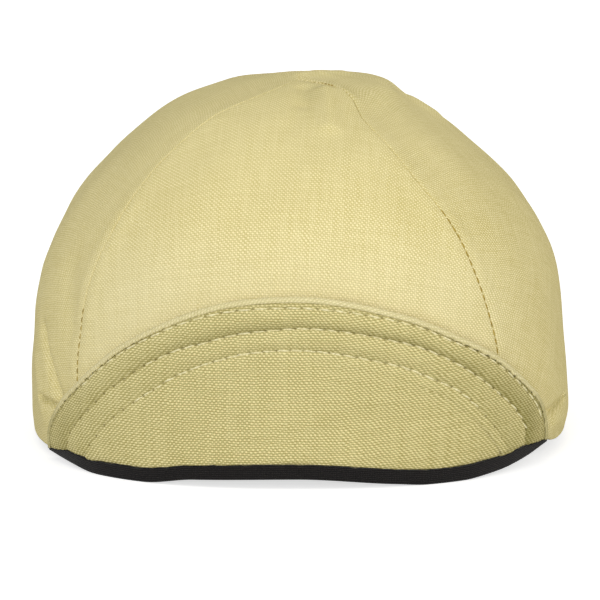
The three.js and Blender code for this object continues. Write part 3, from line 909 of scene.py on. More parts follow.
def face_relief(stage, share, flat):
    """How far the peak's face stands in front of its flat face: drawn in at each stitch row, deeper at
    the needle holes, with a puff between two rows that leans towards the lower one, and the ditch."""
    inset = inset_at(stage, share)
    pulls = [table(PINCH, name, share) for name in ROW_PULLS]
    along = stitches_along(share)
    whole, way = stage_parts(stage)
    if whole == 0:
        rise = -pulls[0] - DITCH_DEPTH * np.minimum(1, table(PINCH, "ditch", share)) * (1 - way) ** 2
    elif whole == 3:
        rise = -pulls[2] * np.exp(-(inset - row_inset(2, share)) / ROW_RECOVERY)
    else:
        puff, lean = PUFFS[whole - 1]
        rise = -pulls[whole - 1] * (1 - way) - pulls[whole] * way
        rise = rise + table(PINCH, puff, share) * np.sin(math.pi * way ** lean)
    for row in range(3):
        off = np.abs(inset - row_inset(row, share))
        hole = np.exp(-((along + ROW_SHIFT * row) % 1 - 0.5) ** 2 / NOTCH["hole"])
        strength = np.minimum(1, pulls[row] / NOTCH["full_pull"])
        rise -= NOTCH["depth"] * strength * np.exp(-off / NOTCH["width"]) * (NOTCH["between"] + hole)
    rise += uneven(flat, "peak_face")
    return rise - FOOT_DIP["depth"] * np.exp(-np.maximum(0, above_foot(flat)) / FOOT_DIP["reach"])


def painted_peak_shade(stage, share):
    """How much painted shade the peak's cloth gets: it deepens from each row to the next and jumps back,
    so that it is darkest just above the second and third row, where the puffs turn under, with a little
    painted highlight just below a row, and painted shade in the ditch and along the rim."""
    inset = inset_at(stage, share)
    whole, way = stage_parts(stage)
    rim = table(PINCH, "dark_rim", share)
    if whole == 0:
        wave = 2 * math.pi * share * EDGE_LENGTH / DITCH_NOTCHES + 3 * np.sin(40 * share)
        notch = 1 + PAINTED_PEAK_SHADE["notch"] * np.sin(wave)
        fading = np.exp(-(inset - LIP_END) / PAINTED_PEAK_SHADE["ditch_reach"])
        return rim + table(PINCH, "ditch", share) * notch * fading
    since = inset - row_inset(whole - 1, share)
    light = PAINTED_PEAK_SHADE["light"] * np.exp(-since / PAINTED_PEAK_SHADE["light_reach"])
    if whole == 3:
        return light
    darkest = table(PINCH, ("dark_outer", "dark_inner")[whole - 1], share)
    deepening = darkest * way ** PAINTED_PEAK_SHADE["deepening"]
    return deepening + light + rim * (whole == 1) * (1 - 0.5 * way)


def needle_marks(stage, share):
    """For each point the distance to the nearest stitch row, up to the one that stands for none, the
    place along that row in stitches, and how much darker the cloth is drawn: the rows' painted shade, and
    darker towards the right."""
    inset = inset_at(stage, share)
    offs = np.stack([np.abs(inset - row_inset(row, share)) for row in range(3)])
    pulled = np.stack([table(PINCH, name, share) > LEAST_PULL for name in ROW_PULLS])
    offs = np.minimum(np.where(pulled, offs, NO_ROW), NO_ROW)
    along = stitches_along(share) + ROW_SHIFT * offs.argmin(0)
    shade = SIDE_SHADE["tone"] * smooth(EDGE_LENGTH * (share - 0.5), SIDE_SHADE["from"], SIDE_SHADE["to"])
    return np.stack([offs.min(0), along, painted_peak_shade(stage, share) + shade], -1)


def cloth_of(rows):
    """A cloth's two faces, UV and marks from the ones of its rows."""
    return dict(zip(("outer", "inner", "layout", "marks"), map(np.stack, zip(*rows))))


def peak_face():
    """The under cloth that faces the viewer: rows from the foot up to the ditch under the lip."""
    rows = []
    for stage in face_stages()[::-1]:
        flat, share = plan_row(inset_at(stage, EDGE_SHARES))
        out = PEAK_THICK + face_relief(stage, share, flat)
        inner = peak_point(flat, np.minimum(out - CLOTH, PEAK_THICK - CLOTH))
        rows.append((peak_point(flat, out), inner, cloth_layout(flat), needle_marks(stage, share)))
    return cloth_of(rows)


def lip_section():
    """Section of the upper cloth where it rolls over the edge: distance in from the edge and distance
    in front of the back face, from the back, round the edge, and into the ditch, as two faces."""
    turn = np.linspace(0, math.pi, LIP_STEPS)
    faces = []
    for face, thick in (("outer", 0), ("inner", CLOTH)):
        radius = LIP_RADIUS - thick
        ditch_out = 2 * LIP_RADIUS - thick - DITCH_ROWS["drop"]
        inset = np.concatenate([LIP_RADIUS - radius * np.sin(turn), DITCH_ROWS[face]])
        out = np.concatenate([LIP_RADIUS - radius * np.cos(turn), ditch_out])
        faces.append(np.stack([inset, out], -1))
    return faces


def lip_layout(share, run):
    """UV of the rolled edge: the cloth of the back, carried on outward from the edge by a length."""
    into = points_at(share, EDGE_SHARES, EDGE_IN)
    return cloth_layout(points_at(share, EDGE_SHARES, EDGE)) + into * (LIP_RADIUS - run)


def rim_marks(share):
    """Marks for the upper cloth, with painted shade where the rim nears its two ends."""
    return plain_marks(1 - smooth(share, *RIM_ENDS[:2]) + smooth(share, *RIM_ENDS[2:]))


def peak_back():
    """The upper cloth: it covers the back of the peak, rolls over the edge and ends in the ditch."""
    rows = []
    insets = np.linspace(0, 1, BACK_ROWS) ** BACK_SPREAD * (FIELD_DEPTH - LIP_RADIUS) + LIP_RADIUS
    for inset in insets[:0:-1]:
        flat, share = plan_row(inset + 0 * EDGE_SHARES)
        swell = uneven(flat, "peak_back") - BACK_SET
        faces = [peak_point(flat, swell + thick) for thick in (0, CLOTH)]
        rows.append((*faces, cloth_layout(flat), rim_marks(share)))
    ragged = jagged(EDGE_SHARES * EDGE_LENGTH, **RAGGED)
    ragged = ragged * table(PINCH, "ditch", EDGE_SHARES) / FULL_DITCH * RAGGED_EDGE
    sections = lip_section()
    run = lengths_along(sections[0])
    for k, places in enumerate(zip(*sections)):
        faces = []
        for inset, out in places:
            flat, share = plan_row(inset + ragged * (k >= LIP_ROWS["even"]))
            wave = LIP_WAVE * np.sin(stitches_along(share) * 2 * math.pi) * (k >= LIP_ROWS["smooth"])
            faces.append((peak_point(flat, out + wave - BACK_SET * (k < LIP_ROWS["flush"])), share))
        (outer, share), (inner, _) = faces
        rows.append((outer, inner, lip_layout(share, run[k]), rim_marks(share)))
    return cloth_of(rows)


# Band


def rounded(section, radii):
    """Each corner of the sections replaced by a short curve that starts and ends a radius away."""
    before = np.roll(section, 1, 1) - section
    after = np.roll(section, -1, 1) - section
    curve = []
    t = np.linspace(0, 1, CORNER_STEPS)[None, None, :, None]
    for side in (before, after):
        length = np.linalg.norm(side, axis=-1, keepdims=True)
        reach = np.minimum(np.array(radii)[None, :, None], CORNER_MOST * length)
        curve.append((section + side / np.maximum(length, 1e-9) * reach)[:, :, None])
    corner = section[:, :, None]
    points = (1 - t) ** 2 * curve[0] + 2 * t * (1 - t) * corner + t ** 2 * curve[1]
    return points.reshape(len(section), -1, 2)


def band_section(azimuth):
    """Corners of the band's section at each azimuth, from the leg's inside round by the strip, and how
    round each one is. The strip's top edge is a little uneven."""
    front = between(STRIP_ENDS, azimuth)
    base = lower_edge(azimuth) + BAND["lift"] * (1 - front)
    place = np.stack([arc_length(wrapped(azimuth)), 0 * azimuth], -1)
    strip = {
        "out": STRIP_OUT * side_thin(azimuth), "thick": STRIP_THICK,
        "height": strip_height(azimuth) + uneven(place, "strip"),
    }
    out, thick, height = (TUCKED[name] + (strip[name] - TUCKED[name]) * front for name in strip)
    leg_out = -BAND["inset"] + 0 * azimuth
    top_out = leg_out - BAND["lean"] * BAND["tall"]
    corners = [
        (leg_out - BAND["thick"], base, 0.6), (out - STRIP_LEAN, base, 0.75),
        (out, base + height, 0.4), (out - thick, base + height, 0.35),
        (out - thick, base + BAND["foot"], 0.2), (leg_out, base + BAND["foot"], 0.2),
        (top_out, base + BAND["tall"], 0.5), (top_out - BAND["thick"], base + BAND["tall"], 0.5),
    ]
    section = np.stack([np.stack([place, height], -1) for place, height, _ in corners], 1)
    return section, [radius for _, _, radius in corners]


def band_ring():
    """The band all round: at each azimuth a leg inside the crown and a foot turned out below, which in
    front stands up as the strip. Gives its points, faces and UV."""
    azimuth = np.arange(BAND_SECTIONS) * 360 / BAND_SECTIONS
    profile = rounded(*band_section(azimuth))
    points = wall_point(azimuth[:, None], profile[..., 1], profile[..., 0])
    v = added_up(np.linalg.norm(np.diff(profile, axis=1, append=profile[:, :1]), axis=-1))
    v = np.concatenate([v, v[:1]])
    u = arc_length(wrapped(np.append(azimuth, 0)))
    whole_turn = ARC_LENGTHS[-1]
    u = np.where(np.diff(u, prepend=u[0]) < -whole_turn / 2, 1, 0).cumsum() * whole_turn + u
    faces, corners = torus_quads(*points.shape[:2])
    layout = np.stack([u[corners[..., 0]], v[corners[..., 0], corners[..., 1]]], -1)
    return points.reshape(-1, 3), faces, layout.reshape(-1, 2)


def torus_quads(rings, sides):
    """Corner numbers of a ring's quads, closed both ways, and each corner's ring and side number
    counted on past the last one, for a UV that doesn't turn back at the joins."""
    i, j = (a.reshape(-1) for a in np.meshgrid(np.arange(rings), np.arange(sides), indexing="ij"))
    ring = np.stack([i, i + 1, i + 1, i], -1)
    side = np.stack([j, j, j + 1, j + 1], -1)
    return ring % rings * sides + side % sides, np.stack([ring, side], -1)


# Thread on the peak: half the length, radius and arch of a stitch, how far it slants, how deep it is
# sunk, and the height that the lowest stitch is above. Thread in the seams: how deep it lies and its
# arch, the number of places along a seam, and the length over which a stitch's direction is taken.
PEAK_STITCH = {"half_length": 1.95, "radius": 0.28, "arch": 0.12}
PEAK_SLANT = 0.12
PEAK_SINK = {"least": 0.05, "uneven": 0.2}
LOWEST_STITCH = 7
SEAM_DEPTH = 0.28
SEAM_ARCH = 0.08
SEAM_PLACES = 1500
SEAM_STEP = 0.3


def thread_stitch(rings=6, sides=6):
    """A stitch of thread along X from -1 to 1: rings round an arch, with the ends drawn to points."""
    t = np.linspace(-1, 1, rings)[:, None]
    angle = np.linspace(0, 2 * math.pi, sides, endpoint=False)[None, :]
    radius = np.sqrt(np.maximum(0.02, 1 - np.abs(t) ** 3))
    points = np.stack([t + 0 * angle, radius * np.cos(angle), radius * np.sin(angle)], -1)
    faces = grid_quads(rings, sides, wrap=True)
    return points.reshape(-1, 3), faces, 1 - t.repeat(sides, 0).reshape(-1) ** 2


def lay_stitches(places, along, normal, half_length, radius, arch):
    """Copies of the stitch, each laid with its length along one direction and arched along the normal."""
    template, faces, bow = thread_stitch()
    along = unit(along)
    side = unit(np.cross(normal, along))
    normal = np.cross(along, side)
    x = template[None, :, :1] * half_length * along[:, None]
    y = template[None, :, 1:2] * radius * side[:, None]
    z = (template[None, :, 2:] * radius + arch * bow[None, :, None]) * normal[:, None]
    points = places[:, None] + x + y + z
    offsets = (np.arange(len(places)) * len(template))[:, None, None]
    return points.reshape(-1, 3), (faces[None] + offsets).reshape(-1, 4)


def peak_stitches(row, shares):
    """Places, directions and normals of the stitches in one row of the peak, between two shares of
    the edge."""
    first, last = np.array(shares) * EDGE_LENGTH / STITCH_PITCH + ROW_SHIFT * row
    centres = np.arange(math.ceil(first), math.floor(last)) - ROW_SHIFT * row
    share = centres * STITCH_PITCH / EDGE_LENGTH
    sunk = np.random.default_rng(SEED + 20 + row).uniform(0, PEAK_SINK["uneven"], len(share))
    out = PEAK_THICK - table(PINCH, ROW_PULLS[row], share) - PEAK_SINK["least"] - sunk

    def spot(shift, raised=0):
        at = share + shift * STITCH_PITCH / EDGE_LENGTH
        inset = row_inset(row, share) + 2 * shift * PEAK_SLANT
        into = points_at(at, EDGE_SHARES, EDGE_IN) * inset[:, None]
        return peak_point(points_at(at, EDGE_SHARES, EDGE) + into, out + raised)

    places = spot(0)
    keep = places[:, 2] > LOWEST_STITCH
    return places[keep], (spot(0.5) - spot(-0.5))[keep], (spot(0, 1) - places)[keep]


def seam_stitches(seam, shares, pitch):
    """Places, directions and normals of stitches in a crown seam, between two shares of the way up."""
    share = np.linspace(*shares, SEAM_PLACES)
    normal = crown_normal(seam(share), share)
    line = crown_point(seam(share), share)
    line = line + normal * crown_relief(line)[:, None] - normal * SEAM_DEPTH
    run = lengths_along(line)
    at = np.arange(pitch / 2, run[-1], pitch)
    places = points_at(at, run, line)
    return places, points_at(at + SEAM_STEP, run, line) - places, unit(points_at(at, run, normal))


# Materials: the distance from thread to thread of the warp and the weft in millimetres, how high the
# warp stands beside the weft, and the colour of the painted light low in front
THREADS = (0.66, 0.74)
WARP_HEIGHT = 0.64
PAINTED_LIGHT_COLOUR = "fffbe6"
# How strongly the painted shade in needle holes and along stitch lines shows, with its colours; how
# patchy the marks' painted shade is, and how much red and green, and blue, it takes away
NEEDLE_TONES = {"Hole": (0.4, "6e6236"), "Line": (0.1, "8d8350")}
PAINTED_SHADE_PATCHES = (0.9, 0.55)
PAINTED_SHADE_DEPTHS = (0.28, 0.35)
# Places in metres, or along U, between which the threads' slant changes, the weave shows more from the
# left to the right and less from low to high, and the painted light ends above and behind
SLANT_ACROSS = (-0.8, 0.45)
SIDES_BETWEEN = (-0.08, 0.08)
FADING_UP = (0.07, 0.105, 1.0, 0.65)
PAINTED_LIGHT_UP = (0.085, 0.055)
PAINTED_LIGHT_FORWARD = (-0.055, -0.085)
# Depth of the weave's relief in metres
WEAVE_DEPTH = 0.00025


def feed(tree, node, inputs):
    """Sets a node's inputs, by name or number, to values or links them to other nodes' outputs."""
    for name, value in inputs.items():
        if isinstance(value, bpy.types.NodeSocket):
            tree.links.new(value, node.inputs[name])
        else:
            node.inputs[name].default_value = value
    return node.outputs


def wire(tree, kind, inputs, out=0, **settings):
    """Adds a node with its settings and inputs, and gives one of its outputs."""
    node = tree.nodes.new(kind)
    for name, value in settings.items():
        setattr(node, name, value)
    return feed(tree, node, inputs)[out]


def maths(tree, operation, *values, clamp=False):
    return wire(tree, "ShaderNodeMath", dict(enumerate(values)), operation=operation, use_clamp=clamp)


def noise(tree, vector, scale, detail=2.0):
    return wire(tree, "ShaderNodeTexNoise", {"Vector": vector, "Scale": scale, "Detail": detail})


def mix_colour(tree, factor, first, second, blend="MIX"):
    return wire(tree, "ShaderNodeMix", {0: factor, 6: first, 7: second}, out=2,
                data_type="RGBA", blend_type=blend)


def split(tree, vector):
    """The three parts of a vector."""
    return wire(tree, "ShaderNodeSeparateXYZ", {0: vector}).node.outputs[:]


def ramp(tree, value, low, high, to_low=0.0, to_high=1.0):
    """The value's range from low to high as a smooth step between two outputs."""
    return wire(tree, "ShaderNodeMapRange", {
        "Value": value, "From Min": low, "From Max": high, "To Min": to_low, "To Max": to_high,
    }, interpolation_type="SMOOTHSTEP")


def new_group(name, inputs, outputs):
    """A shader node group with named inputs, each a vector or its usual number, and named outputs."""
    tree = bpy.data.node_groups.new(name, "ShaderNodeTree")
    for label, usual in inputs.items():
        kind = "NodeSocketVector" if usual == "vector" else "NodeSocketFloat"
        socket = tree.interface.new_socket(name=label, in_out="INPUT", socket_type=kind)
        if usual != "vector":
            socket.default_value = usual
    for label in outputs:
        tree.interface.new_socket(name=label, in_out="OUTPUT", socket_type="NodeSocketFloat")
    return tree, tree.nodes.new("NodeGroupInput").outputs, tree.nodes.new("NodeGroupOutput")


def use_group(tree, group, inputs):
    """Places a group in a material with its own values, and gives its outputs by name."""
    node = tree.nodes.new("ShaderNodeGroup")
    node.node_tree = group
    return feed(tree, node, inputs)


def plain_weave():
    """Plain weave of slubby threads on a UV map: which thread is on top, how high it stands, and how
    light it is. Warp threads run up V and weft threads along U, each over and under the other."""
    tree, given, result = new_group("plain weave", {
        "Place": "vector", "Warp": UV_UNIT / THREADS[0], "Weft": UV_UNIT / THREADS[1], "Wander": 1.4,
        "Slant": 0.35, "Weft share": 1.0,
    }, ("Weft on top", "Height", "Slub", "Body"))
    x, y, _ = split(tree, given["Place"])
    shifted_place = wire(tree, "ShaderNodeVectorMath", {0: given["Place"], 1: (5.3, 2.1, 0)})
    threads = []
    for axis, count, where in ((x, "Warp", given["Place"]), (y, "Weft", shifted_place)):
        along = maths(tree, "MULTIPLY", axis, given[count])
        drift = maths(tree, "SUBTRACT", noise(tree, where, 28.0), 0.5)
        threads.append(maths(tree, "ADD", along, maths(tree, "MULTIPLY", drift, given["Wander"])))
    turns = [maths(tree, "MULTIPLY", thread, math.pi) for thread in threads]
    waves, shifted = ([maths(tree, kind, turn) for turn in turns] for kind in ("SINE", "COSINE"))
    # Twisted threads lie at a slant where they cross, which favours one diagonal of the pattern
    half_slant = maths(tree, "MULTIPLY", given["Slant"], 0.5)
    upright = maths(tree, "SUBTRACT", 1.0, maths(tree, "ABSOLUTE", half_slant))
    straight = maths(tree, "MULTIPLY", maths(tree, "MULTIPLY", *waves), upright)
    slanted = maths(tree, "MULTIPLY", maths(tree, "MULTIPLY", *shifted), half_slant)
    cross = maths(tree, "SUBTRACT", straight, slanted)
    bodies = [maths(tree, "ABSOLUTE", wave) for wave in waves]
    warp_top = maths(tree, "ADD", maths(tree, "MULTIPLY", bodies[0], WARP_HEIGHT), cross)
    weft_top = maths(tree, "SUBTRACT", bodies[1], cross)
    height = maths(tree, "MULTIPLY", maths(tree, "MAXIMUM", warp_top, weft_top), 0.5)
    weft_seen = ramp(tree, cross, 0.35, -0.35)
    slubs = []
    for across, run, seed in ((*threads, 3.7), (*threads[::-1], 9.2)):
        number = maths(tree, "MULTIPLY", maths(tree, "FLOOR", across), 0.731)
        length = maths(tree, "MULTIPLY", run, 0.045)
        where = wire(tree, "ShaderNodeCombineXYZ", {0: number, 1: length, 2: seed})
        slubs.append(noise(tree, where, 1.0))
    slub = wire(tree, "ShaderNodeMix", {0: weft_seen, 2: slubs[0], 3: slubs[1]})
    body = wire(tree, "ShaderNodeMix", {0: given["Weft share"], 2: bodies[0], 3: bodies[1]})
    feed(tree, result, {"Weft on top": weft_seen, "Height": height, "Slub": slub, "Body": body})
    return tree


def rib_knit():
    """Fine knit on a UV map: rows across V, each a line of small slanted loops along U."""
    tree, given, result = new_group("rib knit", {
        "Place": "vector", "Rows": 170.0, "Loops": 190.0,
    }, ("Height", "Fibre"))
    x, y, _ = split(tree, given["Place"])
    rows = maths(tree, "MULTIPLY", y, given["Rows"])
    loops = maths(tree, "MULTIPLY", x, given["Loops"])
    row_wave = maths(tree, "ABSOLUTE", maths(tree, "SINE", maths(tree, "MULTIPLY", rows, math.pi)))
    parity = maths(tree, "MULTIPLY", maths(tree, "MODULO", maths(tree, "FLOOR", rows), 2.0), 0.5)
    slant = maths(tree, "ADD", loops, maths(tree, "ADD", parity, maths(tree, "MULTIPLY", rows, 0.5)))
    loop_wave = maths(tree, "SINE", maths(tree, "MULTIPLY", slant, 2 * math.pi))
    height = maths(tree, "MULTIPLY", row_wave, maths(tree, "MULTIPLY_ADD", loop_wave, 0.25, 0.75))
    feed(tree, result, {"Height": height, "Fibre": noise(tree, given["Place"], 600.0, 3.0)})
    return tree


def needle_holes():
    """Painted shade in needle holes and a soft line of painted shade along stitch rows, from the distance
    to a row in millimetres, the place along it in stitches and how much darker the cloth is drawn, all
    three in a vector."""
    tree, given, result = new_group("needle holes", {
        "Marks": "vector", "Pitch": STITCH_PITCH, "Radius": 0.4,
    }, ("Hole", "Line", "Painted shade"))
    off, along, painted_shade = split(tree, given["Marks"])
    part = maths(tree, "SUBTRACT", maths(tree, "FRACT", along), 0.5)
    length = maths(tree, "MULTIPLY", part, given["Pitch"])
    squares = [maths(tree, "MULTIPLY", v, v) for v in (off, length)]
    distance = maths(tree, "SQRT", maths(tree, "ADD", *squares))
    hole = ramp(tree, maths(tree, "DIVIDE", distance, given["Radius"]), 1.3, 0.5)
    feed(tree, result, {"Hole": hole, "Line": ramp(tree, off, 0.9, 0.1), "Painted shade": painted_shade})
    return tree


WEAVE = plain_weave()
KNIT = rib_knit()
HOLES = needle_holes()


def colour(code):
    """A colour written as sRGB hex, as linear numbers."""
    values = [int(code[k:k + 2], 16) / 255 for k in (0, 2, 4)]
    linear = [v / 12.92 if v <= 0.04045 else ((v + 0.055) / 1.055) ** 2.4 for v in values]
    return (*linear, 1.0)


def new_material(name, roughness, sheen, specular):
    """An empty material with its Principled shader: matt cloth with a soft sheen."""
    material = bpy.data.materials.new(name)
    material.use_nodes = True
    tree = material.node_tree
    shader = tree.nodes["Principled BSDF"]
    feed(tree, shader, {
        "Roughness": roughness, "Specular IOR Level": specular,
        "Sheen Weight": sheen, "Sheen Roughness": 0.5,
    })
    return material, tree, shader


def finish_cloth(tree, shader, tone, height, strength, distance):
    """Gives a shader its colour and the relief of its cloth."""
    normal = wire(tree, "ShaderNodeBump", {"Strength": strength, "Distance": distance, "Height": height})
    feed(tree, shader, {"Base Color": tone, "Normal": normal})


def thread_tones(tree, look, place, weave, broad):
    """How light the cloth is at a place: sums of the weave's parts and of soft noise, each less its
    own middle and by its own weight."""
    contrast = look["contrast"]
    speck = noise(tree, place, 240.0)
    # Painted light and shade: the weft lying over and the high threads are drawn lighter, the grooves
    # darker
    terms = [
        (weave["Weft on top"], 0.5, look["over"] * contrast), (weave["Height"], 0.55, 0.8 * contrast),
        (weave["Body"], 0.64, look["grooves"] * contrast), (weave["Slub"], 0.5, 0.9 * contrast),
        (broad, 0.5, 0.2), (speck, 0.5, 0.8 * contrast),
    ]
    factor = 0.0
    for part, middle, weight in terms:
        factor = maths(tree, "MULTIPLY_ADD", maths(tree, "SUBTRACT", part, middle), weight, factor)
    return factor


def needle_tones(tree, tone, place):
    """The tone with painted shade in needle holes and along stitch lines, the marks' other painted shade,
    and how deep the holes are.
    """
    marks = wire(tree, "ShaderNodeAttribute", {}, out=1, attribute_name="needle")
    needle = use_group(tree, HOLES, {"Marks": marks})
    # Painted shade in the needle holes and along the stitch lines
    for mark, (strength, code) in NEEDLE_TONES.items():
        tone = mix_colour(tree, maths(tree, "MULTIPLY", needle[mark], strength), tone, colour(code))
    patchy = maths(tree, "MULTIPLY_ADD", noise(tree, place, 60.0), *PAINTED_SHADE_PATCHES)
    # Painted shade from the marks: the cloth drawn darker, and less blue
    painted_shade = maths(tree, "MULTIPLY", needle["Painted shade"], patchy)
    grey, blue = (maths(tree, "MULTIPLY_ADD", painted_shade, -depth, 1.0) for depth in PAINTED_SHADE_DEPTHS)
    shade = wire(tree, "ShaderNodeCombineColor", {0: grey, 1: grey, 2: blue})
    return mix_colour(tree, 1.0, tone, shade, blend="MULTIPLY"), needle["Hole"]


def woven_cloth(name, look):
    """Woven cloth: thread colours and heights from the weave, which shows less high up and on one side,
    with the weave's painted light and shade, soft changes of tone, stitch marks and their painted shade,
    and painted light low in front."""
    material, tree, shader = new_material(name, 0.95, 0, 0.05)
    place = wire(tree, "ShaderNodeUVMap", {}, uv_map="cloth")
    slant = ramp(tree, split(tree, place)[0], *SLANT_ACROSS, *look["slants"])
    weave = use_group(tree, WEAVE, {"Place": place, "Slant": slant, "Weft share": look["weft_share"]})
    objects = wire(tree, "ShaderNodeTexCoord", {}, out=3)
    factor = thread_tones(tree, look, place, weave, noise(tree, objects, 22.0, 3.0))
    sideways, forward, up = split(tree, objects)
    across = ramp(tree, sideways, *SIDES_BETWEEN, *look["sides"])
    fade = maths(tree, "MULTIPLY", ramp(tree, up, *FADING_UP), across)
    factor = maths(tree, "MULTIPLY_ADD", factor, fade, 0.5, clamp=True)
    tone = mix_colour(tree, factor, colour(look["dark"]), colour(look["light"]))
    tone, hole = needle_tones(tree, tone, place)
    height = maths(tree, "MULTIPLY_ADD", weave["Slub"], 0.35, weave["Height"])
    height = maths(tree, "MULTIPLY_ADD", hole, -1.5, height)
    # Painted light: the cloth drawn paler, towards a near-white, low on the front
    low_front_light = maths(tree, "MULTIPLY", ramp(tree, up, *PAINTED_LIGHT_UP), ramp(tree, forward, *PAINTED_LIGHT_FORWARD))
    paler = maths(tree, "MULTIPLY", low_front_light, look["bleached"])
    tone = mix_colour(tree, paler, tone, colour(PAINTED_LIGHT_COLOUR))
    finish_cloth(tree, shader, tone, height, look["bump"], WEAVE_DEPTH)
    return material


def knit_cloth(name, light, dark):
    """Black knit: rows of loops in relief, with paler fibre ends on the raised loops and painted shade
    between the rows and loops.
    """
    material, tree, shader = new_material(name, 0.9, 0.1, 0.1)
    place = wire(tree, "ShaderNodeUVMap", {}, uv_map="cloth")
    knit = use_group(tree, KNIT, {"Place": place})
    # Painted shade: the knit drawn light only where its loops stand high, dark between them
    factor = maths(tree, "MULTIPLY", knit["Height"], ramp(tree, knit["Fibre"], 0.4, 0.7), clamp=True)
    tone = mix_colour(tree, factor, colour(dark), colour(light))
    finish_cloth(tree, shader, tone, knit["Height"], 0.6, 0.0003)
    return material


def thread_material(name, light, dark):
    """Sewing thread: a twist of fibres seen as fine slanted changes of tone."""
    material, tree, shader = new_material(name, 0.7, 0.1, 0.3)
    twist = noise(tree, wire(tree, "ShaderNodeTexCoord", {}, out=3), 1400.0)
    tone = mix_colour(tree, ramp(tree, twist, 0.3, 0.7), colour(dark), colour(light))
    finish_cloth(tree, shader, tone, twist, 0.3, 0.0001)
    return material


# Woven cloths: the threads' colours, how strongly the weave shows, how much painted light the weft gets
# where it lies over, how much painted shade the grooves get and how much of them is the weft's, the
# relief, the slant of the threads from the cloth's left to its right, how much painted light it gets low
# in front, and how the weave shows from the cap's left to its right
LOOK_NAMES = "light dark contrast over grooves weft_share bump slants bleached sides".split()
LOOKS = {
    "crown cloth": ("f6ebba", "c5b671", 0.75, 0.5, 0.5, 0.6, 0.35, (0.35, 0.35), 0.12, (0.8, 1.3)),
    "peak cloth": ("eadfa9", "a69b5e", 0.82, 0.6, 0.75, 1.0, 0.45, (-0.65, 0.85), 0.0, (1, 1)),
    "rim cloth": ("eee4b8", "c8bd85", 0.65, 0.6, 0.3, 1.0, 0.35, (0.35, 0.35), 0.0, (1, 1)),
}
crown_cloth, peak_cloth, rim_cloth = (
    woven_cloth(name, dict(zip(LOOK_NAMES, look))) for name, look in LOOKS.items()
)
band_cloth = knit_cloth("band knit", "4d4a4a", "050404")
cream_thread = thread_material("cream thread", "f6efc6", "d6cb94")
olive_thread = thread_material("olive thread", "b89e44", "8f7a28")
ochre_thread = thread_material("ochre thread", "b9a04e", "8e7833")

# Pieces


def add_cloth(name, cloth, finish, node, way=1):
    """A piece of cloth from its two faces, which share UV and marks; way -1 turns it inside out."""
    points, faces = shell(cloth["outer"], cloth["inner"])
    layout = np.tile(cloth["layout"].reshape(-1, 2), (2, 1))
    marks = np.tile(cloth["marks"].reshape(-1, 3), (2, 1))
    add_piece(name, points, faces[:, ::way], finish, node, layout, marks)


# Crown panels: the part's node, the seams at the left and right, the columns between them, the azimuth
# of the middle, the share of the way up where the panel ends, and the grain's turn in degrees
PANELS = [
    ("cloth_front", "panel_front", "front_left", "front_right", 110, -4, FRONT_TOP, 0),
    ("cloth_right", "panel_right", "front_right", "back_right", 150, 82, TOP_SHARE, 34),
    ("cloth_back", "panel_back", "back_right", "back_left_again", 110, 180, TOP_SHARE, 0),
    ("cloth_left", "panel_left", "back_left", "front_left", 150, -84, TOP_SHARE, -18),
]
for piece_name, node, left, right, columns, centre, top, grain in PANELS:
    panel = crown_panel((SEAMS[left], SEAMS[right]), columns, centre, top, grain)
    add_cloth(piece_name, panel, crown_cloth, node)

add_cloth("peak_face_cloth", peak_face(), peak_cloth, "peak_under")
add_cloth("peak_back_cloth", peak_back(), rim_cloth, "peak_upper", way=-1)

points, faces, layout = band_ring()
add_piece("band_knit", points, faces, band_cloth, "sweatband", layout)

# Shares of the edge between which the stitches of each row show
for row, shares in enumerate([(0.15, 0.98), (0.27, 0.95), (0.22, 0.84)]):
    points, faces = lay_stitches(*peak_stitches(row, shares), **PEAK_STITCH)
    add_piece(f"peak_stitches_{row + 1}", points, faces, cream_thread)

# Stitches that show in the seams: the shares they run between, and their pitch, length and radius
SEAM_THREADS = [
    ("seam_thread_right", "front_right", olive_thread, (0.05, 0.565), 2.9, 1.2, 0.31),
    ("seam_thread_left", "front_left", ochre_thread, (0.05, 0.345), 2.7, 1, 0.33),
    ("seam_thread_top", "front_right", ochre_thread, (0.931, 0.956), 1.4, 0.4, 0.26),
    ("seam_thread_back_right", "back_right", ochre_thread, (0.05, 0.9), 2.9, 1.1, 0.26),
    ("seam_thread_back_left", "back_left", ochre_thread, (0.05, 0.9), 2.9, 1.1, 0.26),
]
for piece_name, seam, finish, shares, pitch, half_length, radius in SEAM_THREADS:
    spots = seam_stitches(SEAMS[seam], shares, pitch)
    points, faces = lay_stitches(*spots, half_length, radius, SEAM_ARCH)
    add_piece(piece_name, points, faces, finish)

# Stage, lights and camera


# Half the floor's width in metres, its grey, and how it glows unseen and seen by the camera; the even
# light from all round, unseen and seen by the camera
FLOOR_REACH = 30
FLOOR_GREY = 0.7
FLOOR_GLOW = (0.03, 0.66)
SKY = (0.41, 1.0)


def by_camera(tree, unseen, seen):
    """One value, or another where the camera sees the surface straight."""
    straight = wire(tree, "ShaderNodeLightPath", {})
    return wire(tree, "ShaderNodeMapRange", {"Value": straight, "To Min": unseen, "To Max": seen})


def pale_floor():
    """A wide pale floor that glows a little, more so where the camera sees it, so that it looks white."""
    mesh = bpy.data.meshes.new("floor")
    corners = [(x * FLOOR_REACH, y * FLOOR_REACH, 0) for x, y in ((-1, -1), (1, -1), (1, 1), (-1, 1))]
    mesh.from_pydata(corners, [], [(0, 1, 2, 3)])
    material, tree, shader = new_material("floor", 1, 0, 0)
    feed(tree, shader, {
        "Base Color": (FLOOR_GREY, FLOOR_GREY, FLOOR_GREY, 1),
        "Emission Color": (1, 1, 1, 1), "Emission Strength": by_camera(tree, *FLOOR_GLOW),
    })
    mesh.materials.append(material)
    floor = add_object("floor", mesh)


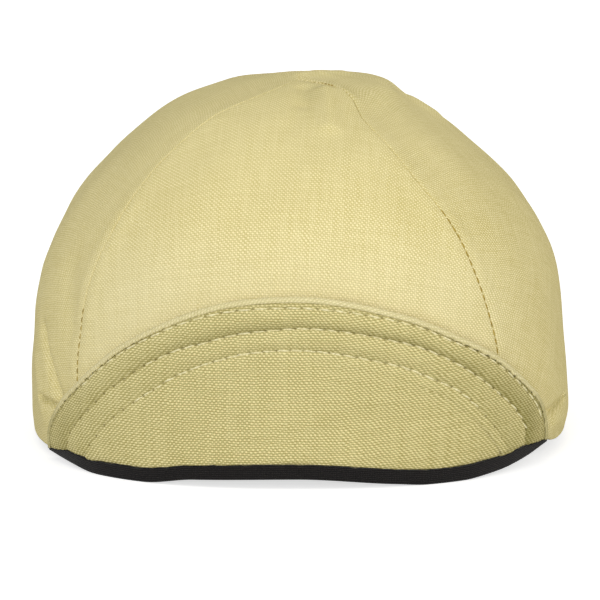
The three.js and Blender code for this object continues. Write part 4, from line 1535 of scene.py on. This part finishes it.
def direction(azimuth, elevation):
    """The direction from the cap towards an azimuth and elevation."""
    a, e = math.radians(azimuth), math.radians(elevation)
    return Vector((math.sin(a) * math.cos(e), -math.cos(a) * math.cos(e), math.sin(e)))


def soft_light(name, azimuth, elevation, spread, strength, tint):
    """A wide, distant light from an azimuth and elevation round the cap, the same all over the floor."""
    light = bpy.data.lights.new(name, "SUN")
    light.color = tint
    light.angle = math.radians(spread)
    light.energy = strength
    lamp = add_object(name, light)
    lamp.rotation_euler = direction(azimuth, elevation).to_track_quat("Z", "Y").to_euler()


def white_world():
    """Even white light all round, and plain white where the camera looks past the floor."""
    world = bpy.data.worlds.new("white")
    world.use_nodes = True
    tree = world.node_tree
    feed(tree, tree.nodes["Background"], {"Color": (1, 1, 1, 1), "Strength": by_camera(tree, *SKY)})
    bpy.context.scene.world = world


# Camera: its distance and elevation in degrees, the height of the place it turns round, how far to the
# right of and below that place it looks, and its lens
CAMERA = {
    "distance": 1400, "elevation": 8, "aim_height": 59.5, "right": 0.486, "down": 16.69, "lens": 259.2,
}


def photo_camera():
    """A long lens in front of the cap and a little above it, which looks past the cap's middle."""
    data = bpy.data.cameras.new("camera")
    data.lens = CAMERA["lens"]
    data.sensor_width = 36
    camera = add_object("camera", data)
    back = direction(0, CAMERA["elevation"])
    right = Vector((1, 0, 0))
    up = back.cross(right)
    target = Vector((SHIFT[0], SHIFT[1], CAMERA["aim_height"]))
    place = target + back * CAMERA["distance"]
    aim = target + right * CAMERA["right"] - up * CAMERA["down"]
    camera.location = place * MM
    camera.rotation_euler = (place - aim).to_track_quat("Z", "Y").to_euler()
    bpy.context.scene.camera = camera


# Lights: azimuth, elevation, spread in degrees, strength and tint
LIGHTS = [
    ("key light", -16, 10, 35, 1.7, (1, 1, 0.99)),
    ("side light", 62, 26, 50, 1, (1, 0.97, 0.88)),
    ("left light", -65, 60, 50, 0.35, (1, 1, 0.98)),
]

pale_floor()
white_world()
for light in LIGHTS:
    soft_light(*light)
photo_camera()
bpy.context.scene.view_settings.view_transform = "Standard"
